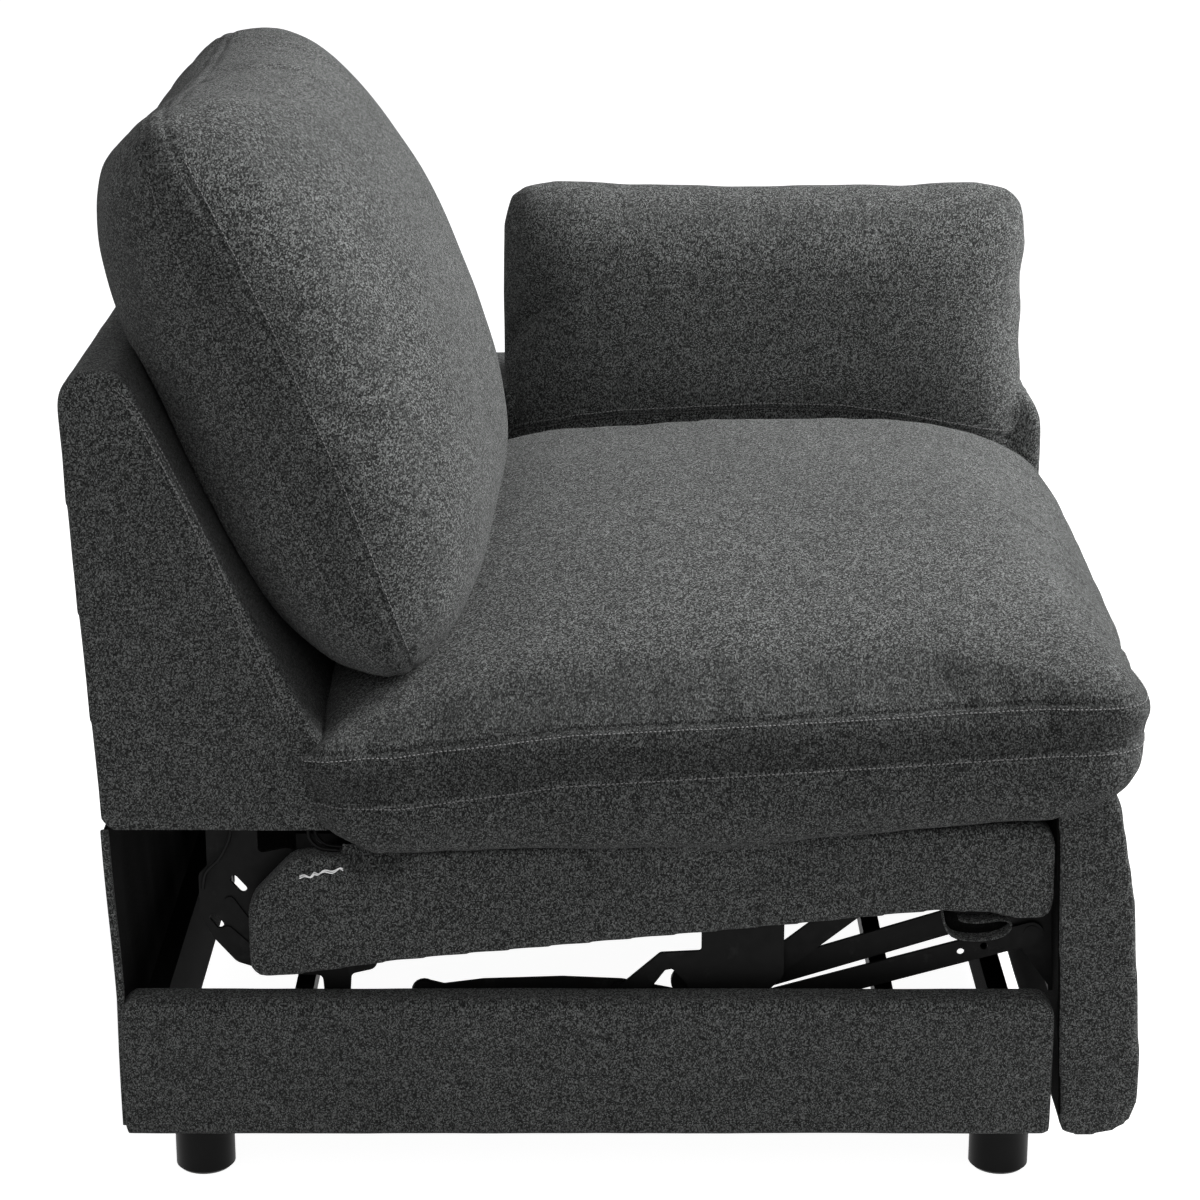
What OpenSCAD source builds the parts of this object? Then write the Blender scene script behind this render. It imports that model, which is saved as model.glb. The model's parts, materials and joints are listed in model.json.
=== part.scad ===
// Power recliner seat module with one arm.
// +Z is up, the front is -Y, the arm is on +X and the open side is on -X.
// Side outlines are drawn as [forward, up] and extruded across the width by side_slab().

/* [Overall] */
// Width over the side rail and the arm
module_w = 940; // [880:10:1040]
// Width of the arm
arm_w = 188; // [160:4:220]
// Length of the base side rail
base_l = 925; // [880:5:960]
// Height of the base side rail
rail_h = 147; // [135:1:155]
// Thickness of the padded base side rail
rail_t = 40; // [36:1:46]
// Height of the feet
foot_h = 60; // [30:1:100]
// Diameter of the feet
foot_d = 60; // [45:1:64]

/* [Seat] */
// Gap between the moving seat and the arm
arm_gap = 10; // [6:1:14]
// Slope of the seat box's lower edge in degrees
seat_tilt = 5.6; // [5:0.1:6]
// Slope of the seat box's upper edge in degrees
deck_tilt = 2.85; // [2.5:0.05:3.2]
// Height of the seat box above the front swing pivot line
seat_box_h = 108; // [104:1:112]
// Thickness of the seat cushion's side, from its flat underside to its upper seam
cushion_side_h = 118; // [105:1:130]
// Height of the seat cushion's crown above its upper seam
cushion_crown = 118; // [90:1:122]
// Height of the seat cushion's boxed band between its seams
cushion_band = 47; // [30:1:60]

/* [Back] */
// Height of the back frame above its lower edge
back_frame_h = 459; // [420:1:500]
// Length of the back pillow along its lean
back_pillow_l = 562; // [520:2:590]
// Lean of the back pillow in degrees
back_pillow_lean = 19.6; // [17:0.1:22]

/* [Arm] */
// Height of the arm above the base's lower edge
arm_h = 590; // [560:2:610]
// Length of the arm pillow
arm_pillow_l = 606; // [540:2:620]
// Height of the arm pillow
arm_pillow_h = 312; // [280:2:330]

/* [Mechanism] */
// Length of the swing links between their pivots
swing_l = 125.7; // [120:0.1:130]
// Lean of the swing links at rest in degrees
swing_lean = 28; // [26:0.5:29]
// Thickness of the steel plates and links
plate_t = 4; // [3:0.5:4.5]
// Width of the footrest links
link_w = 26; // [22:1:28]
// Diameter of the pivot rivets
pivot_d = 10; // [8:0.5:12]
// Radial running clearance of a pivot
pivot_fit = 0.06; // [0.02:0.01:0.1]
// Turn of the footrest links from closed to open in degrees
link_turn = 111; // [100:1:112]

/* [Hidden] */

// Colours
fabric_colour = "#3b3e40";
wood_colour = "#b08a5a";
steel_colour = "#17181a";
plastic_colour = "#101112";
zinc_colour = "#b9bcc0";
cloth_colour = "#26282a";

// Shared small sizes
over = 1;
seam_gap = 0.5;
touch_gap = 0.3;
plane_gap = 1;
edge_r = 3;
arc_fn = 40;

// Widths. The seat and its mechanism are mirrored about the middle of the open width.
left_x = -module_w / 2;
right_x = module_w / 2;
arm_x = right_x - arm_w;
seat_inset = 8;
seat_left_x = left_x + seat_inset;
seat_right_x = arm_x - arm_gap;
mid_x = (seat_left_x + seat_right_x) / 2;
board_t = 18;
board_face_x = left_x + rail_t;
mirror_face_x = 2 * mid_x - board_face_x;
inner_w = mirror_face_x - board_face_x;

// Lengths, as distances forward of one cross line that mid_y places
base_front = 450;
base_rear = base_front - base_l;
base_z = foot_h;
rail_top = base_z + rail_h;

// Steel planes, counted inward from the timber's inner face
function plane_x(n) = board_face_x + n * (plate_t + plane_gap);

// The steel base rails run between the feet's corner blocks
board_inset = 12;
foot_front_inset = 43;
foot_rear_inset = 72;
block_reach = 30;
angle_gap = 5;
foot_front_u = base_front - foot_front_inset;
foot_rear_u = base_rear + foot_rear_inset;
front_block_low = foot_front_u - block_reach;
rear_block_high = foot_rear_u + block_reach;
angle_front = front_block_low - angle_gap;
angle_rear = rear_block_high + angle_gap;
function angle_u(share) = angle_rear + (angle_front - angle_rear) * share;

// Swing pivots
base_pivot_shares = [0.339206, 0.606774];
base_pivot_h = 24;
base_pivot_z = base_z + base_pivot_h;
seat_pivot_z = base_pivot_z + swing_l * cos(swing_lean);
swing_throw = swing_l * sin(swing_lean);
swing_w = 26;
rear_swing_u = angle_u(base_pivot_shares[0]) - swing_throw;
front_swing_u = angle_u(base_pivot_shares[1]) - swing_throw;
swing_span = front_swing_u - rear_swing_u;

// Seat box
box_ref_rise = 68;
box_rear_inset = 130;
box_front_inset = 13;
box_rear = base_rear + box_rear_inset;
box_front = base_front - box_front_inset;
box_ref_z = seat_pivot_z + box_ref_rise;
function box_bottom(u) = box_ref_z + (u - front_swing_u) * tan(seat_tilt);
function box_top(u) = box_ref_z + seat_box_h + (u - front_swing_u) * tan(deck_tilt);
box_top_rear_inset = 45;
box_round_shares = [0.15, 0.13, 0.2, 0.28, 0.28];
cover_t = 14;

// Footrest linkage, from the front hang link's seat pivot
hang_pivot_inset = 134;
hang_pivot_u = base_front - hang_pivot_inset;
hang_pivot_rise = 142;
hang_drop = 134;
hang_back = 166;
hang_span = 66;
hang_front = [hang_pivot_u, seat_pivot_z + hang_pivot_rise];
hang_rear = [hang_pivot_u - hang_span, hang_front[1]];
cross_pin = [hang_front[0] - hang_back, hang_front[1] - hang_drop];
tail_pin = [hang_rear[0] - hang_back, hang_rear[1] - hang_drop];
long_reach = 248;
long_rise = 79;
upper_pin = [cross_pin[0] + long_reach, cross_pin[1] + long_rise];
lower_pin_step = [32, -24];
lower_pin = upper_pin + lower_pin_step;
heel_step = [15.5, -20.1];
heel_pin = cross_pin + heel_step;
open_pin_slack = 0.9;

// Back
back_pivot_inset = 45;
back_pivot_rise = 75;
back_bottom_rise = 188;
back_overhang = 10;
back_depth = 228;
back_pivot = [box_rear + back_pivot_inset, seat_pivot_z + back_pivot_rise];
back_bottom = seat_pivot_z + back_bottom_rise;
back_rear_low = base_rear - back_overhang;
back_front_low = back_rear_low + back_depth;
back_lean_out = 25;
back_wall = 18;

// Footrest panel
panel_h = 370;
panel_gap = 10;
panel_rake = 17;
panel_depth = 76;
panel_top = base_z + panel_h;
panel_rear_low = base_front + panel_gap;
panel_rear_top = panel_rear_low - panel_rake;
panel_front = panel_rear_low + panel_depth;

// The frame's origin is under the middle of the chair's length
mid_y = (panel_front + back_rear_low - back_lean_out) / 2;

// Round pieces across the width, at a [forward, up] place
module side_pin(p, x, w, d) {
    translate([x, mid_y - p[0], p[1]])
        rotate([0, 90, 0])
            cylinder(h = w, d = d, $fn = arc_fn);
}

// A [forward, up] outline extruded from x towards +X
module side_slab(x, w) {
    translate([x + w, mid_y, 0])
        rotate([90, 0, -90])
            linear_extrude(w)
                children();
}

// A box given by its forward, width and height limits
module block(u0, u1, x0, x1, z0, z1) {
    translate([x0, mid_y - u1, z0])
        cube([x1 - x0, u1 - u0, z1 - z0]);
}

// The same piece on both sides of the seat
module both_sides() {
    children();
    translate([2 * mid_x, 0, 0])
        mirror([1, 0, 0])
            children();
}

// Outline with its corners rounded: points and one radius for each
function unit(v) = v / norm(v);
function corner_arc(a, b, c, r, n) =
    let (
        d1 = unit(a - b),
        d2 = unit(c - b),
        half = acos(d1 * d2) / 2,
        reach = r / tan(half),
        middle = b + unit(d1 + d2) * (r / sin(half)),
        p1 = b + d1 * reach,
        p2 = b + d2 * reach,
        a1 = atan2(p1[1] - middle[1], p1[0] - middle[0]),
        a2 = atan2(p2[1] - middle[1], p2[0] - middle[0]),
        turn = a2 - a1 > 180 ? a2 - a1 - 360 : a2 - a1 < -180 ? a2 - a1 + 360 : a2 - a1
    )
    [for (i = [0 : n]) middle + r * [cos(a1 + turn * i / n), sin(a1 + turn * i / n)]];
function rounded(points, radii, n = 5) =
    let (last = len(points) - 1)
    [for (i = [0 : last])
        let (
            before = points[i == 0 ? last : i - 1],
            after = points[i == last ? 0 : i + 1]
        )
        for (q = radii[i] > 0 ? corner_arc(before, points[i], after, radii[i], n) : [points[i]]) q];
// Places given as shares of a size, from a corner
function shares_at(corner, size, shares) =
    [for (s = shares) corner + [s[0] * size[0], s[1] * size[1]]];

// Flat bar with round ends between two places
function bar_points(p, q, w, n = 10) =
    let (a = atan2(q[1] - p[1], q[0] - p[0]))
    concat(
        [for (i = [0 : n]) q + w / 2 * [cos(a - 90 + 180 * i / n), sin(a - 90 + 180 * i / n)]],
        [for (i = [0 : n]) p + w / 2 * [cos(a + 90 + 180 * i / n), sin(a + 90 + 180 * i / n)]]
    );
module flat_bar(p, q, w) {
    polygon(bar_points(p, q, w));
}

// Rivet: a stub from x to x_end with a head past its end
head_d_share = 1.7;
head_t = 2.4;
module rivet(p, x, x_end) {
    side_pin(p, x, x_end - x, pivot_d);
    side_pin(p, x_end, head_t, pivot_d * head_d_share);
}
// A stub whose flat head lies on its outer side, inside the gap between two planes
flat_head_share = 0.6;
module flat_rivet(p, x, x_end) {
    head = plane_gap * flat_head_share;
    side_pin(p, x, x_end - x, pivot_d);
    side_pin(p, x - head, head, pivot_d * head_d_share);
}
module pivot_hole(p, x, w, slack = 0) {
    side_pin(p, x - over, w + 2 * over, pivot_d + 2 * (pivot_fit + slack));
}

// Soft forms
// A ring of a cushion seen from above, with rounded corners and drawn-in sides
ring_n = 44;
corner_power = 5;
function power_cos(a, p) = sign(cos(a)) * pow(abs(cos(a)), 2 / p);
function power_sin(a, p) = sign(sin(a)) * pow(abs(sin(a)), 2 / p);
function ring_at(a, half_l, half_w, draw_share) =
    let (
        x = power_cos(a, corner_power),
        y = power_sin(a, corner_power)
    )
    [
        half_l * x * (1 - draw_share * (1 - y * y)),
        half_w * y * (1 - draw_share * (1 - x * x))
    ];
// Profile shares: [plan scale, height share of the lower part, height share of the upper part]
function ring_points(half_l, half_w, draw_share, k, z, wedge) =
    [for (i = [0 : ring_n - 1])
        let (q = ring_at(360 * i / ring_n, half_l, half_w, draw_share) * k)
        [q[0], q[1], z + wedge * q[0] / half_l]];
// Closed solid through a list of rings, each [plan scale, height, wedge], with flat-capped poles
module ring_form(half_l, half_w, draw_share, rings) {
    count = len(rings);
    points = concat(
        [for (r = rings) each ring_points(half_l, half_w, draw_share, r[0], r[1], r[2])],
        [[0, 0, rings[0][1]], [0, 0, rings[count - 1][1]]]
    );
    sides = [for (j = [0 : count - 2]) for (i = [0 : ring_n - 1])
        let (
            a = j * ring_n + i,
            b = j * ring_n + (i + 1) % ring_n
        )
        each [[a, a + ring_n, b], [b, a + ring_n, b + ring_n]]];
    low_cap = [for (i = [0 : ring_n - 1]) [count * ring_n, i, (i + 1) % ring_n]];
    top = (count - 1) * ring_n;
    high_cap = [for (i = [0 : ring_n - 1])
        [count * ring_n + 1, top + (i + 1) % ring_n, top + i]];
    polyhedron(points = points, faces = concat(sides, low_cap, high_cap), convexity = 4);
}
// Upper or lower dome: plan scale and height from the seam to the pole
dome_n = 6;
dome_flat_share = 0.8;
function dome(seam_k, seam_z, rise, wedge) =
    [for (i = [1 : dome_n])
        let (a = 90 - 86 * i / dome_n)
        [seam_k * pow(sin(a), dome_flat_share), seam_z + rise * cos(a), wedge]];
function reversed(list) = [for (i = [len(list) - 1 : -1 : 0]) list[i]];

// Places a form drawn flat so that its length runs forward and its height leans from +Z
module place_form(u, x, z, pitch) {
    translate([x, mid_y - u, z])
        rotate([pitch, 0, 0])
            rotate([0, 0, -90])
                children();
}

// Base

rail_round = 20;
rail_top_round = 10;
function rail_outline(u0, u1, z0, z1, r) = [[u0, z0], [u1, z0], [u1, z1], [u0, z1]];

module padded_slab(u0, u1, x0, x1, z0, z1, r_end, r_top) {
    intersection() {
        side_slab(x0, x1 - x0)
            polygon(rounded(rail_outline(u0, u1, z0, z1), [edge_r, edge_r, r_end, r_end]));
        translate([0, mid_y - u0 + over, 0])
            rotate([90, 0, 0])
                linear_extrude(u1 - u0 + 2 * over)
                    polygon(rounded([[x0, z0], [x1, z0], [x1, z1], [x0, z1]],
                    [edge_r, edge_r, r_top, r_top]));
    }
}

module side_rail_cover() {
    color(fabric_colour)
        difference() {
            padded_slab(base_rear, base_front, left_x, board_face_x, base_z, rail_top,
                rail_round, rail_top_round);
            block(base_rear + board_inset, base_front - board_inset,
                board_face_x - board_t, board_face_x + over,
                base_z + board_inset, rail_top - board_inset);
        }
}

module side_rail_board() {
    color(wood_colour)
        block(base_rear + board_inset, base_front - board_inset,
            board_face_x - board_t, board_face_x,
            base_z + board_inset, rail_top - board_inset);
}

module right_base_rail() {
    color(wood_colour)
        block(base_rear + board_inset, base_front - board_inset,
            mirror_face_x, arm_x, base_z, rail_top - board_inset);
}

timber_t = 22;
front_rail_h = 44;
rear_rail_h = 110;
front_rail_u = base_front - board_inset - timber_t;
rear_rail_u = base_rear + board_inset;

module base_front_rail() {
    color(cloth_colour)
        block(front_rail_u, front_rail_u + timber_t, board_face_x, mirror_face_x,
            base_z, base_z + front_rail_h);
}

module base_rear_rail() {
    color(cloth_colour)
        block(rear_rail_u, rear_rail_u + timber_t, board_face_x, mirror_face_x,
            base_z, base_z + rear_rail_h);
}

// Feet. Each stands under a corner block and is held by a threaded stud.
foot_inset_x = 61;
foot_chamfer = 3;
stud_d = 10;
stud_l = 16;
block_t = 18;
function foot_x(side) = side < 0 ? left_x + foot_inset_x : arm_out_x - foot_inset_x;

module foot(u, x) {
    color(plastic_colour)
        translate([x, mid_y - u, 0])
            difference() {
                union() {
                    cylinder(h = foot_chamfer, d1 = foot_d - 2 * foot_chamfer, d2 = foot_d, $fn = arc_fn);
                    translate([0, 0, foot_chamfer])
                        cylinder(h = foot_h - foot_chamfer, d = foot_d, $fn = arc_fn);
                }
                translate([0, 0, foot_h - stud_l])
                    cylinder(h = stud_l + over, d = stud_d, $fn = arc_fn);
            }
}
module foot_front_left() { foot(foot_front_u, foot_x(-1)); }
module foot_rear_left() { foot(foot_rear_u, foot_x(-1)); }
module foot_front_right() { foot(foot_front_u, foot_x(1)); }
module foot_rear_right() { foot(foot_rear_u, foot_x(1)); }

module stud(u, x) {
    translate([x, mid_y - u, foot_h - stud_l])
        cylinder(h = stud_l + block_t, d = stud_d, $fn = arc_fn);
}
module foot_studs() {
    color(zinc_colour)
        for (u = [foot_front_u, foot_rear_u]) {
            for (side = [-1, 1]) {
                stud(u, foot_x(side));
            }
        }
}

module corner_block(u0, u1, x0, x1, u, x) {
    difference() {
        block(u0, u1, x0, x1, base_z, base_z + block_t);
        translate([x, mid_y - u, base_z - over])
            cylinder(h = block_t + 2 * over, d = stud_d, $fn = arc_fn);
    }
}
module corner_blocks() {
    color(wood_colour) {
        corner_block(front_block_low, front_rail_u, board_face_x,
            foot_x(-1) + block_reach, foot_front_u, foot_x(-1));
        corner_block(rear_rail_u + timber_t, rear_block_high, board_face_x,
            foot_x(-1) + block_reach, foot_rear_u, foot_x(-1));
        corner_block(front_block_low, base_front - board_inset, arm_x,
            foot_x(1) + block_reach, foot_front_u, foot_x(1));
        corner_block(rear_rail_u, rear_block_high, arm_x,
            foot_x(1) + block_reach, foot_rear_u, foot_x(1));
    }
}
// Steel base rails: angle iron with the swing links' lower pivots
angle_h = 40;
angle_w = 34;
base_pivots = [for (share = base_pivot_shares) [angle_u(share), base_pivot_z]];
bolt_d = 8;
bolt_head_t = 3;
angle_bolt_shares = [0.15, 0.5, 0.84];
bolt_z = base_z + 0.7 * angle_h;

module mech_rail() {
    color(steel_colour) {
        difference() {
            union() {
                block(angle_rear, angle_front, board_face_x, board_face_x + plate_t,
                    base_z + plate_t, base_z + angle_h + plate_t);
                block(angle_rear, angle_front, board_face_x, board_face_x + angle_w,
                    base_z + plate_t, base_z + 2 * plate_t);
            }
            for (share = angle_bolt_shares) {
                side_pin([angle_u(share), bolt_z], board_face_x - over,
                    plate_t + 2 * over, bolt_d);
            }
        }
        for (p = base_pivots) {
            rivet(p, board_face_x + plate_t, plane_x(1) + plate_t + pivot_fit);
        }
    }
}
module mech_rail_left() { mech_rail(); }
module mech_rail_right() {
    translate([2 * mid_x, 0, 0])
        mirror([1, 0, 0])
            mech_rail();
}

tube_size = 20;
tube_wall = 2;
cross_tube_shares = [0.05, 0.9];
module square_tube(u, x0, x1, z) {
    difference() {
        block(u, u + tube_size, x0, x1, z, z + tube_size);
        block(u + tube_wall, u + tube_size - tube_wall, x0 - over, x1 + over,
            z + tube_wall, z + tube_size - tube_wall);
    }
}
module base_cross_tubes() {
    color(steel_colour)
        for (share = cross_tube_shares) {
            square_tube(angle_u(share), board_face_x + plate_t, mirror_face_x - plate_t,
                base_z + 2 * plate_t);
        }
}

module base_bolts() {
    color(zinc_colour)
        both_sides()
            for (share = angle_bolt_shares) {
                side_pin([angle_u(share), bolt_z], board_face_x, plate_t, bolt_d);
                side_pin([angle_u(share), bolt_z], board_face_x + plate_t, bolt_head_t,
                    bolt_d * head_d_share);
            }
}

// Arm

arm_top = base_z + arm_h;
arm_overhang = 70;
arm_front = base_front + arm_overhang;
arm_rear = base_rear;
arm_round = 55;
arm_wall = 16;
bezel_proud = 2;
arm_out_x = right_x - bezel_proud;
module arm_block(grow) {
    side_slab(arm_x - grow, arm_out_x - arm_x + 2 * grow)
        polygon(rounded([
            [arm_rear - grow, base_z - grow], [arm_front + grow, base_z - grow],
            [arm_front + grow, arm_top + grow], [arm_rear - grow, arm_top + grow]
        ], [edge_r, arm_round / 4, arm_round, arm_round / 2]));
}

module arm_cover() {
    color(fabric_colour)
        difference() {
            intersection() {
                arm_block(0);
                translate([0, mid_y - arm_rear + over, 0])
                    rotate([90, 0, 0])
                        linear_extrude(arm_front - arm_rear + 2 * over)
                            polygon(rounded([
                                [arm_x, base_z], [arm_out_x, base_z],
                                [arm_out_x, arm_top], [arm_x, arm_top]
                            ], [edge_r, edge_r, arm_round / 3, arm_round / 3]));
            }
            block(arm_rear + arm_wall, arm_front - arm_wall, arm_x + arm_wall,
                arm_out_x - arm_wall, base_z - over, arm_top - arm_round);
            bezel_seat(0);
            block(base_rear, foot_rear_u + block_reach + seam_gap, arm_x - over, foot_x(1) + block_reach,
                base_z - over, base_z + block_t);
            block(front_block_low - seam_gap, base_front - board_inset, arm_x - over,
                foot_x(1) + block_reach, base_z - over, base_z + block_t);
        }
}

// Timber inside the arm: two posts and two rails
post_w = 60;
arm_rail_h = 70;
module arm_frame() {
    arm_in = arm_x + arm_wall;
    arm_out = arm_out_x - arm_wall;
    rear = arm_rear + arm_wall;
    front = arm_front - arm_wall;
    low = base_z + block_t;
    high = arm_top - arm_round;
    color(wood_colour) {
        block(rear, rear + timber_t, arm_in, arm_out, low, high);
        block(front - timber_t, front, arm_in, arm_out, low, high);
        for (x = [arm_in, arm_out - timber_t]) {
            block(rear + timber_t, front - timber_t, x, x + timber_t, low, low + arm_rail_h);
            block(rear + timber_t, front - timber_t, x, x + timber_t, high - arm_rail_h, high);
        }
        block(-post_w / 2, post_w / 2, arm_in + timber_t, arm_out - timber_t,
            high - timber_t, high);
    }
}

// Pillow standing on the arm, its lower edge hanging inside
arm_pillow_inset = 253;
arm_pillow_u = base_front - arm_pillow_inset;
arm_pillow_half_t = 96;
arm_pillow_overhang = 46;
arm_pillow_in_x = arm_x - arm_pillow_overhang;
arm_pillow_rise = 76;
arm_pillow_tilt = 6;
arm_pillow_seam_share = 0.98;
arm_pillow_flat_share = 0.16;
arm_pillow_draw_share = 0.03;
arm_pillow_puff_share = 0.84;
module arm_pillow() {
    flat = arm_pillow_flat_share * arm_pillow_half_t;
    puff = arm_pillow_puff_share * arm_pillow_half_t;
    seam = arm_pillow_seam_share;
    rings = concat(
        reversed(dome(seam, -flat, -puff, 0)),
        [[seam, -flat, 0], [1, 0, 0], [seam, flat, 0]],
        dome(seam, flat, puff, 0)
    );
    color(fabric_colour)
        difference() {
            translate([arm_pillow_in_x + arm_pillow_half_t, mid_y - arm_pillow_u,
                    arm_top + arm_pillow_rise])
                rotate([0, -90 + arm_pillow_tilt, 0])
                    rotate([0, 0, 90])
                        ring_form(arm_pillow_l / 2, arm_pillow_h / 2, arm_pillow_draw_share, rings);
            arm_block(seam_gap);
        }
}

// Control panel on the arm's outer face
bezel_inset = 150;
bezel_u = base_front - bezel_inset;
bezel_drop = 130;
bezel_z = arm_top - bezel_drop;
bezel_l = 70;
bezel_h = 34;
bezel_depth = 8;
bezel_lip = 6;
button_d = 20;
button_step = 32;
button_gap = 0.4;
button_travel = 1.2;
module bezel_seat(grow) {
    block(bezel_u - bezel_l / 2 - grow, bezel_u + bezel_l / 2 + grow,
        arm_out_x - bezel_depth - grow, arm_out_x + over,
        bezel_z - bezel_h / 2 - grow, bezel_z + bezel_h / 2 + grow);
}
function button_u(side) = bezel_u + side * button_step / 2;
module control_bezel() {
    color(plastic_colour)
        difference() {
            union() {
                block(bezel_u - bezel_l / 2, bezel_u + bezel_l / 2,
                    arm_out_x - bezel_depth, arm_out_x,
                    bezel_z - bezel_h / 2, bezel_z + bezel_h / 2);
                block(bezel_u - bezel_l / 2 - bezel_lip, bezel_u + bezel_l / 2 + bezel_lip,
                    arm_out_x, right_x - touch_gap,
                    bezel_z - bezel_h / 2 - bezel_lip, bezel_z + bezel_h / 2 + bezel_lip);
            }
            for (side = [-1, 1]) {
                side_pin([button_u(side), bezel_z], arm_out_x - bezel_depth + bezel_proud,
                    bezel_depth + 2 * over, button_d + 2 * button_gap);
            }
        }
}
button_face_x = right_x;
module button(side) {
    color("#2b2d30")
        side_pin([button_u(side), bezel_z],
            arm_out_x - bezel_depth + bezel_proud + button_travel + touch_gap,
            button_face_x - (arm_out_x - bezel_depth + bezel_proud + button_travel + touch_gap),
            button_d);
}
module button_open() { button(1); }
module button_close() { button(-1); }

// Cloth hung from the back frame's lower rear edge down to the base
skirt_t = 2;
skirt_hem = 7;
module rear_skirt() {
    low_z = base_z + skirt_hem;
    color(cloth_colour)
        side_slab(seat_left_x + seat_inset, seat_right_x - seat_left_x - 2 * seat_inset)
            polygon([
                [base_rear - touch_gap - skirt_t, low_z], [base_rear - touch_gap, low_z],
                [base_rear - touch_gap, rail_top], [back_rear_low + skirt_t, back_bottom - touch_gap],
                [back_rear_low, back_bottom - touch_gap]
            ]);
}

// Power inlet on the rear rail
inlet_w = 30;
inlet_h = 22;
inlet_depth = 16;
module power_inlet() {
    x = mid_x + inner_w / 4;
    z = base_z + rear_rail_h / 2;
    u0 = rear_rail_u + timber_t;
    color(plastic_colour)
        difference() {
            block(u0, u0 + inlet_depth, x - inlet_w / 2, x + inlet_w / 2,
                z - inlet_h / 2, z + inlet_h / 2);
            translate([x, mid_y - u0 - inlet_depth / 2, z])
                rotate([90, 0, 0])
                    cylinder(h = inlet_depth, d = inlet_h / 2, $fn = arc_fn);
        }
}

// Swing links

module swing_link(base_p, top_p) {
    difference() {
        side_slab(plane_x(1), plate_t)
            flat_bar(base_p, top_p, swing_w);
        pivot_hole(base_p, plane_x(1), plate_t);
        pivot_hole(top_p, plane_x(1), plate_t);
    }
}
module rear_swing_links() {
    color(steel_colour)
        both_sides()
            swing_link(base_pivots[0], [rear_swing_u, seat_pivot_z]);
}
module front_swing_links() {
    color(steel_colour)
        both_sides()
            swing_link(base_pivots[1], [front_swing_u, seat_pivot_z]);
}

// Seat box

function box_outline(in) = rounded([
    [box_rear + in, box_bottom(box_rear) + in], [box_front - in, box_bottom(box_front) + in],
    [box_front - in, box_top(box_front) - in],
    [box_rear + box_top_rear_inset, box_top(box_rear + box_top_rear_inset) - in],
    [box_rear + in, box_top(box_rear) - box_top_rear_inset]
], [for (share = box_round_shares) seat_box_h * share - in / 3]);

module seat_side_cover() {
    color(fabric_colour)
        difference() {
            intersection() {
                side_slab(seat_left_x, board_face_x - seat_left_x)
                    polygon(box_outline(0));
                translate([0, mid_y - box_rear + over, 0])
                    rotate([90, 0, 0])
                        linear_extrude(box_front - box_rear + 2 * over)
                            polygon(rounded([
                                [seat_left_x, box_bottom(box_rear) - over],
                                [board_face_x, box_bottom(box_rear) - over],
                                [board_face_x, box_top(box_front)],
                                [seat_left_x, box_top(box_front)]
                            ], [edge_r / 3, edge_r / 3, edge_r / 3, cover_t]));
            }
            side_slab(board_face_x - board_t, board_t + over)
                polygon(box_outline(cover_t));
        }
}
module seat_side_board() {
    color(wood_colour)
        difference() {
            side_slab(board_face_x - board_t, board_t)
                polygon(box_outline(cover_t));
            for (p = seat_bolt_places) {
                side_pin(p, board_face_x - board_t - over, board_t + 2 * over, bolt_d);
            }
        }
}
module seat_side_cover_left() { seat_side_cover(); }
module seat_side_cover_right() {
    translate([2 * mid_x, 0, 0]) mirror([1, 0, 0]) seat_side_cover();
}
module seat_side_board_left() { seat_side_board(); }
module seat_side_board_right() {
    translate([2 * mid_x, 0, 0]) mirror([1, 0, 0]) seat_side_board();
}

// Front panel and rear rail of the seat box, between its sides
module seat_front_panel() {
    u0 = box_front - timber_t;
    color(fabric_colour)
        side_slab(board_face_x, inner_w)
            polygon(rounded([
                [u0, box_bottom(u0)], [box_front, box_bottom(box_front)],
                [box_front, box_top(box_front) - cover_t], [u0, box_top(u0) - cover_t]
            ], [edge_r, timber_t / 3, timber_t / 3, edge_r]));
}
seat_rail_inset = 83;
seat_rear_rail_u = box_rear + seat_rail_inset;
module seat_rear_rail() {
    color(cloth_colour)
        block(seat_rear_rail_u, seat_rear_rail_u + timber_t,
            board_face_x + plate_t, mirror_face_x - plate_t,
            box_bottom(seat_rear_rail_u) + cover_t, box_top(seat_rear_rail_u) - cover_t);
}

// Sinuous springs, each a flat zigzag wire from the rear rail to the front panel
spring_count = 5;
spring_wire = 4;
spring_loop_w = 44;
spring_pitch = 26;
spring_rear = seat_rear_rail_u + timber_t;
spring_front = box_front - timber_t;
spring_l = spring_front - spring_rear;
spring_turns = floor(spring_l / spring_pitch) - 1;
spring_lead = (spring_l - spring_turns * spring_pitch) / 2;
function spring_x(i) = board_face_x + inner_w * (i + 1) / (spring_count + 1);
module spring_flat() {
    r = spring_pitch / 2;
    straight = spring_loop_w / 2 - r;
    for (i = [0 : spring_turns - 1]) {
        side = i % 2 == 0 ? 1 : -1;
        translate([spring_lead + r + i * spring_pitch, side * straight])
            intersection() {
                difference() {
                    circle(r = r + spring_wire / 2, $fn = 24);
                    circle(r = r - spring_wire / 2, $fn = 24);
                }
                translate([-2 * r, side > 0 ? 0 : -2 * r])
                    square([4 * r, 2 * r]);
            }
        translate([spring_lead + i * spring_pitch - spring_wire / 2, i == 0 ? 0 : -straight])
            square([spring_wire, (i == 0 ? 1 : 2) * straight]);
    }
    last = spring_turns % 2 == 0 ? -1 : 1;
    translate([spring_lead + spring_turns * spring_pitch - spring_wire / 2, last > 0 ? 0 : -straight])
        square([spring_wire, straight]);
    translate([0, -spring_wire / 2])
        square([spring_lead + spring_wire / 2, spring_wire]);
    translate([spring_l - spring_lead - spring_wire / 2, -spring_wire / 2])
        square([spring_lead + spring_wire / 2, spring_wire]);
}
spring_drop = cover_t + spring_wire;
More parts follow.
